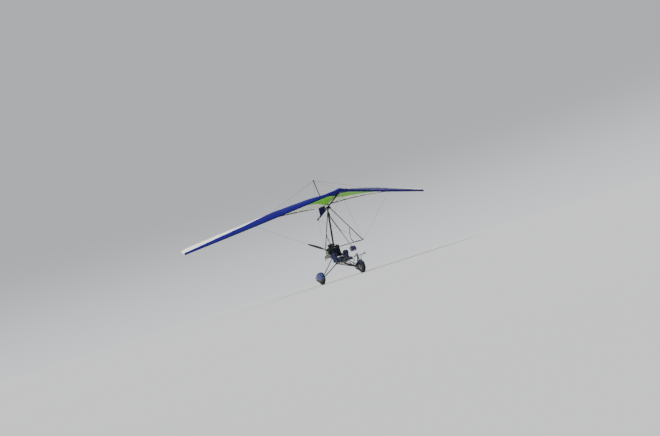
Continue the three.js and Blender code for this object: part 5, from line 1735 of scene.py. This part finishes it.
def gearbox():
    """Cast reduction gearbox: two joined drums, a bolted flange, ribs and plugs."""
    shape = Shape()
    rows = [(0.801, -0.002), (0.803, 0), (0.836, -0.001), (0.8365, 0.0005), (0.847, 0.0005),
            (0.8475, -0.001), (0.884, -0.004), (0.889, -0.01)]
    shape.skin([[vec(x, y, z) for x, z in gearbox_outline(grow)] for y, grow in rows])
    for x, z in gearbox_outline(-0.0075)[::4]:
        shape.bolt((x, 0.8885 if abs(x) < 0.001 else 0.886, z), Y_AXIS, 0.0042, 1)
    shape.bar((0, 0.88, HUB.z), (0, 0.9005, HUB.z), 0.046, 48)
    shape.lathe([(0, 0), (40, 0), (40, 6), (30, 10), (0, 10)], (0, 0.8885, 0.975), Y_AXIS, 40)
    for out, turn in spokes(8, axis="Y"):
        shape.block(vec(0, 0.8895, 0.975) + out * 0.054, (0.026, 0.006, 0.005), 0, 0.0015, turn=turn)
    for x, z in ((0.0725, 0.925), (0.07, 1.06)):
        shape.bolt((x, 0.82, z), X_AXIS, 0.0075, 1)
    piece("gearbox_housing", "trike", shape, [GEARBOX, STEEL], ["gearbox"], smooth=32)


def carburettor(shape, y):
    """A carburettor with its rubber socket, float bowl and cap."""
    socket = [(20, 0), (30, 0), (30, 6), (21.5, 10), (21.5, 34), (24.5, 36), (24.5, 48), (20, 48), (20, 0)]
    bowl = [(0, 0), (16.5, 0), (17.5, 4), (17.5, 26), (19, 27), (19, 30), (0, 30)]
    cap = [(0, 10), (6, 9), (12, 4), (15.5, 0), (15.5, -6), (0, -6)]
    shape.lathe(socket, (0.069, y, 1.126), X_AXIS, 32, paint=1)
    shape.ring((0.111, y, 1.127), X_AXIS, 0.025, 0.0016, paint=2)
    shape.bar((0.112, y, 1.127), (0.158, y, 1.13), 0.0225, 32)
    shape.block((0.133, y, 1.128), (0.034, 0.046, 0.052), 0, 0.006, segments=3)
    shape.lathe(bowl, (0.133, y, 1.072), Z_AXIS, 28)
    shape.bar((0.133, y, 1.152), (0.133, y, 1.178), 0.0145, 28)
    shape.lathe(cap, (0.133, y, 1.18), Z_AXIS, 28, paint=1)
    shape.bolt((0.133, y, 1.072), -Z_AXIS, 0.0042, 2)


def air_filter(shape, y):
    """A round pleated filter between its two rubber ends."""
    foot = [(0, -4), (30, -4), (44, 0), (44, 10), (0, 10)]
    end = [(0, 14), (30, 14), (40, 10), (43.5, 4), (43.5, 0), (0, 0)]
    shape.lathe(foot, (0.159, y, 1.13), X_AXIS, 40, paint=1)
    pleats = [(0.168, y, 1.1305), (0.236, y, 1.1345)]
    shape.sweep(pleats, [0.0425, 0.0415], outline=pleated(96), paint=3, up=Z_AXIS)
    shape.lathe(end, (0.235, y, 1.1345), X_AXIS, 40, paint=1)


def carburettor_lines(shape, y):
    """Fuel line from the pump, and throttle cable from the mast."""
    fuel = [(-0.125, 0.575, 0.99), (-0.132, 0.545, 1.03), (-0.05, 0.52, 1.08), (0.09, 0.53, 1.078),
            (0.128, y - 0.04, 1.085), (0.131, y - 0.018, 1.09)]
    shape.sweep(smooth_path(fuel, 50), 0.004, 10, paint=1)
    throttle = [(0.133, y, 1.19), (0.134, y, 1.222), (0.11, y - 0.03, 1.262), (0.04, 0.555, 1.24),
                (0.034, mast_at(1.16).y + 0.026, 1.16)]
    shape.sweep(smooth_path(throttle, 40), 0.0026, 8, paint=1)


def intake():
    """Two carburettors joined by a link shaft, with their filters and lines."""
    shape = Shape()
    for y in CYLINDERS:
        carburettor(shape, y)
        air_filter(shape, y)
        carburettor_lines(shape, y)
    shape.bar((0.135, 0.632, 1.128), (0.135, 0.712, 1.128), 0.005, 16, paint=2)
    piece("carburettors", "trike", shape, [GEARBOX, RUBBER, STEEL, PIPING], ["intake"], smooth=35)


def can_at(y):
    """A place on the axis of the silencer can."""
    return vec(-0.236, y, 0.9)


def exhaust_runner(shape, y):
    """Pipe from a cylinder to the can: its flange, two slip joints and their springs."""
    course = [(-0.069, y, 1.1465), (-0.11, y, 1.14), (-0.19, y - 0.02, 1.08), (-0.232, y - 0.06, 0.952)]
    path = smooth_path(course, 40)
    shape.sweep(path, 0.0195, 36)
    flange = [(-30, -22), (30, -22), (36, 0), (30, 22), (-30, 22), (-36, 0)]
    shape.plate(flange, 0.006, (-0.0725, y, 1.146), Y_AXIS, Z_AXIS, 1)
    for bolt_y in (y - 0.029, y + 0.029):
        shape.bolt((-0.0755, bolt_y, 1.146), -X_AXIS, 0.0042, 1)
    for i in (16, 34):
        way = (path[i + 1] - path[i]).normalized()
        across = way.orthogonal().normalized()
        shape.band(path[i], way, -0.013, 0.013, 0.0225, 36, 0)
        for turn in (0.6, 2.7, 4.8):
            out = math.cos(turn) * across + math.sin(turn) * way.cross(across)
            spring = path[i] + out * 0.0275
            coil(shape, spring - way * 0.018, spring + way * 0.018)


def exhaust():
    """Silencer can with end cones, weld beads and clamp bands, two runners and the tail pipe."""
    shape = Shape()
    cone = [(0, 0), (34, 0), (40, 6), (40, 30), (44.5, 40), (60, 52), (64, 60)]
    shape.lathe(cone + [(r, 460 - x) for r, x in reversed(cone)], can_at(0.38), Y_AXIS, 64)
    for y in (0.44, 0.5, 0.72, 0.78):
        shape.ring(can_at(y), Y_AXIS, 0.0637, 0.0019, 64, wire_sides=8)
    clamp = [(63.6, -10), (65.5, -9), (65.5, 9), (63.6, 10), (63.6, -10)]
    for y in (0.56, 0.66):
        shape.lathe(clamp, can_at(y), Y_AXIS, 64, paint=1)
        shape.block(can_at(y) + vec(0.07, 0, -0.004), (0.016, 0.018, 0.02), 1)
        shape.bolt(can_at(y) + vec(0.071, 0, 0.007), Z_AXIS, 0.0045, 1, 0.022)
        arm = [can_at(y) + vec(0.076, 0, -0.006), (-0.12, y, 0.882), (-0.094, y, 0.872)]
        shape.sweep(arm, 0.01, paint=1, outline=strap(0.2), up=Z_AXIS)
    for y in CYLINDERS:
        exhaust_runner(shape, y)
    tail = smooth_path([can_at(0.832), (-0.24, 0.85, 0.88), (-0.245, 0.862, 0.83), (-0.25, 0.866, 0.782)],
                       24)
    shape.sweep(tail, 0.0165, 32)
    shape.sweep([tail[-1] - Z_AXIS * 0.0004, tail[-1] + Z_AXIS * 0.001], 0.014, 32, paint=2)
    piece("exhaust_system", "trike", shape, [EXHAUST, STEEL, PLASTIC], ["exhaust"], smooth=35)


def coil(shape, a, b):
    """A small tension spring between two points, with nine turns of ten points each."""
    rows = helix(a, b, [0.004], 90, math.tau / 10)
    shape.sweep([row[0] for row in rows], 0.0009, 6, paint=1)


# Blade sections: distance out, chord, thickness and pitch in degrees.
BLADE_ROWS = ((0.04, 0.07, 0.034, 58), (0.13, 0.078, 0.026, 46), (0.28, 0.104, 0.017, 31),
              (0.45, 0.098, 0.012, 22), (0.62, 0.08, 0.009, 17), (0.75, 0.058, 0.007, 14),
              (0.8, 0.026, 0.004, 13))


def blade(shape, turn):
    """A twisted blade with an aerofoil section, and the tape on its leading edge."""
    places = [row[0] for row in BLADE_ROWS]
    rows, tape = [], []
    for k in range(61):
        out = 0.04 + 0.76 * k / 60
        chord, thick, pitch = (float(np.interp(out, places, [row[c] for row in BLADE_ROWS]))
                               for c in (1, 2, 3))
        if out > 0.74:
            chord = max(chord, 0.012) * math.sqrt(max(0.02, 1 - ((out - 0.74) / 0.0606) ** 2)) * 1.25
            chord = min(chord, 0.06)
        twist = Matrix.Rotation(math.radians(pitch), 4, "X")
        matrix = Matrix.Translation(HUB) @ Matrix.Rotation(turn, 4, "Y") @ twist
        ring, edge = [], []
        for c, s in circle(40):
            along = 0.5 * c
            full = (0.5 + 0.5 * (1 - (c + 0.35) ** 2 * 0.45)) * (1 - max(0, c) ** 2 * 0.75)
            camber = 0.22 * (1 - c * c)
            up = (0.5 * s * full + camber) * (1.0 if s > 0 else 0.9) - 0.08
            ring.append(matrix @ vec(out, up * thick, along * chord))
            if c < -0.72 and out > 0.4:
                high = up * thick * 1.02 + math.copysign(0.0004, s)
                edge.append(matrix @ vec(out, high, along * chord - 0.0005))
        rows.append(ring)
        if edge:
            tape.append(edge)
    shape.skin(rows)
    shape.skin(tape, paint=2, closed=True)


def propeller():
    """Wooden two-blade propeller with its hub plates and bolts."""
    shape = Shape()
    for turn in (210, 390):
        blade(shape, math.radians(turn))
    boss = [(0, -28), (54, -28), (58, -22), (58, 22), (54, 28), (0, 28)]
    front = [(0, -70.5), (36, -70.5), (40, -66), (40, -36), (52, -34), (52, -28), (0, -28)]
    rear = [(0, 28), (50, 28), (50, 34), (36, 37), (36, 44), (0, 44)]
    shape.lathe(boss, HUB, Y_AXIS, 64)
    shape.lathe(front, HUB, Y_AXIS, 56, paint=1)
    shape.lathe(rear, HUB, Y_AXIS, 56, paint=1)
    for out, _ in spokes(6, axis="Y"):
        shape.bolt(HUB + out * 0.043 + Y_AXIS * 0.034, Y_AXIS, 0.0048, 1)
    piece("propeller_blades", "propeller", shape, [PROPELLER, STEEL, GREY_TUBE],
          ["propeller"], smooth=45)


def engine_bearer():
    """The bearer's plates and deck stay as they are; this adds finish, rubber mounts and bolts."""
    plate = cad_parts["engine_mount"]
    plate.data.materials.clear()
    plate.data.materials.append(GREY_TUBE)
    broken_edges(plate, 0.0008, 50)
    shape = Shape()
    mount = [(12, 0), (17, 1), (19, 4), (12, 7.5), (12, 0)]
    for _, side in SIDES:
        for y, z in ((0.56, 0.73), (0.585, 0.79), (0.64, 0.74), (0.53, 0.84), (0.8, 0.85)):
            shape.bolt((side * 0.0391, y, z), (side, 0, 0), 0.0062, 1)
        for y in (0.565, 0.785):
            shape.lathe(mount, (side * 0.088, y, 0.8612), -Z_AXIS, 28)
            shape.bolt((side * 0.088, y, 0.8575), -Z_AXIS, 0.0062, 1)
    piece("bearer_mounts", "trike", shape, [RUBBER, STEEL])


def studio():
    """Pale floor and a plain sweep: at its foot it is as bright as the floor, so no horizon shows."""
    foot, top, floor_share, floor_radius = 0.95, 0.55, 0.52, 260
    paint = Paint("studio_pale", (floor_share,) * 3, 0.95, specular_ior_level=0.0)
    paint.colours(paint.noise(0.4, 2), (0.3, (floor_share - 0.004,) * 3), (0.7, (floor_share + 0.004,) * 3))
    mesh = bpy.data.meshes.new("studio_floor")
    corners = [(floor_radius * c, floor_radius * s, 0) for c, s in circle(96)]
    mesh.from_pydata(corners, [], [tuple(range(96))])
    mesh.materials.append(paint.material)
    floor = bpy.data.objects.new("studio_floor", mesh)
    bpy.context.scene.collection.objects.link(floor)
    world = bpy.data.worlds.new("studio_sweep")
    world.use_nodes = True
    nodes, links = world.node_tree.nodes, world.node_tree.links
    sky, place = nodes["Background"], nodes.new("ShaderNodeTexCoord")
    split, fade = nodes.new("ShaderNodeSeparateXYZ"), nodes.new("ShaderNodeMapRange")
    fade.interpolation_type = "SMOOTHSTEP"
    for i, number in enumerate((-0.02, 0.16, foot, top)):
        fade.inputs[i + 1].default_value = number
    links.new(place.outputs["Generated"], split.inputs[0])
    links.new(split.outputs[2], fade.inputs[0])
    links.new(fade.outputs[0], sky.inputs[1])
    sky.inputs[0].default_value = (0.93, 0.965, 1, 1)
    bpy.context.scene.world = world
    # Suns: azimuth, height in degrees, share of the floor's sunlight, width in degrees.
    suns = (("key", -75, 42, 0.82, 16), ("back", 120, 35, 0.18, 40))
    sunlight = math.pi * (foot / floor_share - 1.03 * top)
    for name, azimuth, height, share, width in suns:
        data = bpy.data.lights.new(name, "SUN")
        data.angle = math.radians(width)
        data.energy = sunlight * share / math.sin(math.radians(height))
        light = bpy.data.objects.new(name, data)
        a, h = math.radians(azimuth), math.radians(height)
        away = vec(math.sin(a) * math.cos(h), -math.cos(a) * math.cos(h), math.sin(h))
        light.rotation_euler = away.to_track_quat("Z", "Y").to_euler()
        light.location = away * 20
        bpy.context.scene.collection.objects.link(light)


def camera():
    """Camera at the photograph's viewing angle, at floor level, with its roll."""
    back = vec(-0.43985, -0.8928, -0.09716).normalized()
    distance, roll = 23.98, math.radians(-17.41)
    target = vec(0, -MIDDLE_Y, HANG_HEIGHT)
    right = Z_AXIS.cross(back).normalized()
    up = back.cross(right)
    across = math.cos(roll) * right + math.sin(roll) * up
    upward = -math.sin(roll) * right + math.cos(roll) * up
    data = bpy.data.cameras.new("camera")
    data.sensor_width, data.lens = 36, 37.12
    data.shift_x, data.shift_y = 0.0045, -0.0151
    data.clip_end = 300
    eye = bpy.data.objects.new("camera", data)
    turn = Matrix((across, upward, back)).transposed().to_4x4()
    eye.matrix_world = Matrix.Translation(target + back * distance) @ turn
    bpy.context.scene.collection.objects.link(eye)
    bpy.context.scene.camera = eye


def wing():
    for name, side in SIDES:
        sail(name, side)
        sail_trim(name, side)
        tip_cap(name, side)
    nose_cone()
    keel()
    keel_pocket()
    king_post()
    control_frame()
    stays()
    wing_fittings()
    hang_block()


def trike():
    mast()
    front_strut()
    base_tube()
    steering_head()
    nose_fork()
    nose_mudguard()
    wheels()
    for name, side in SIDES:
        spat(name, side)
        main_gear(name, side)
    seat_frame()
    seats()
    fuel_tank()
    panniers()
    instrument_pod()
    engine_bearer()
    engine()
    gearbox()
    intake()
    exhaust()
    propeller()


studio()
camera()
wing()
trike()
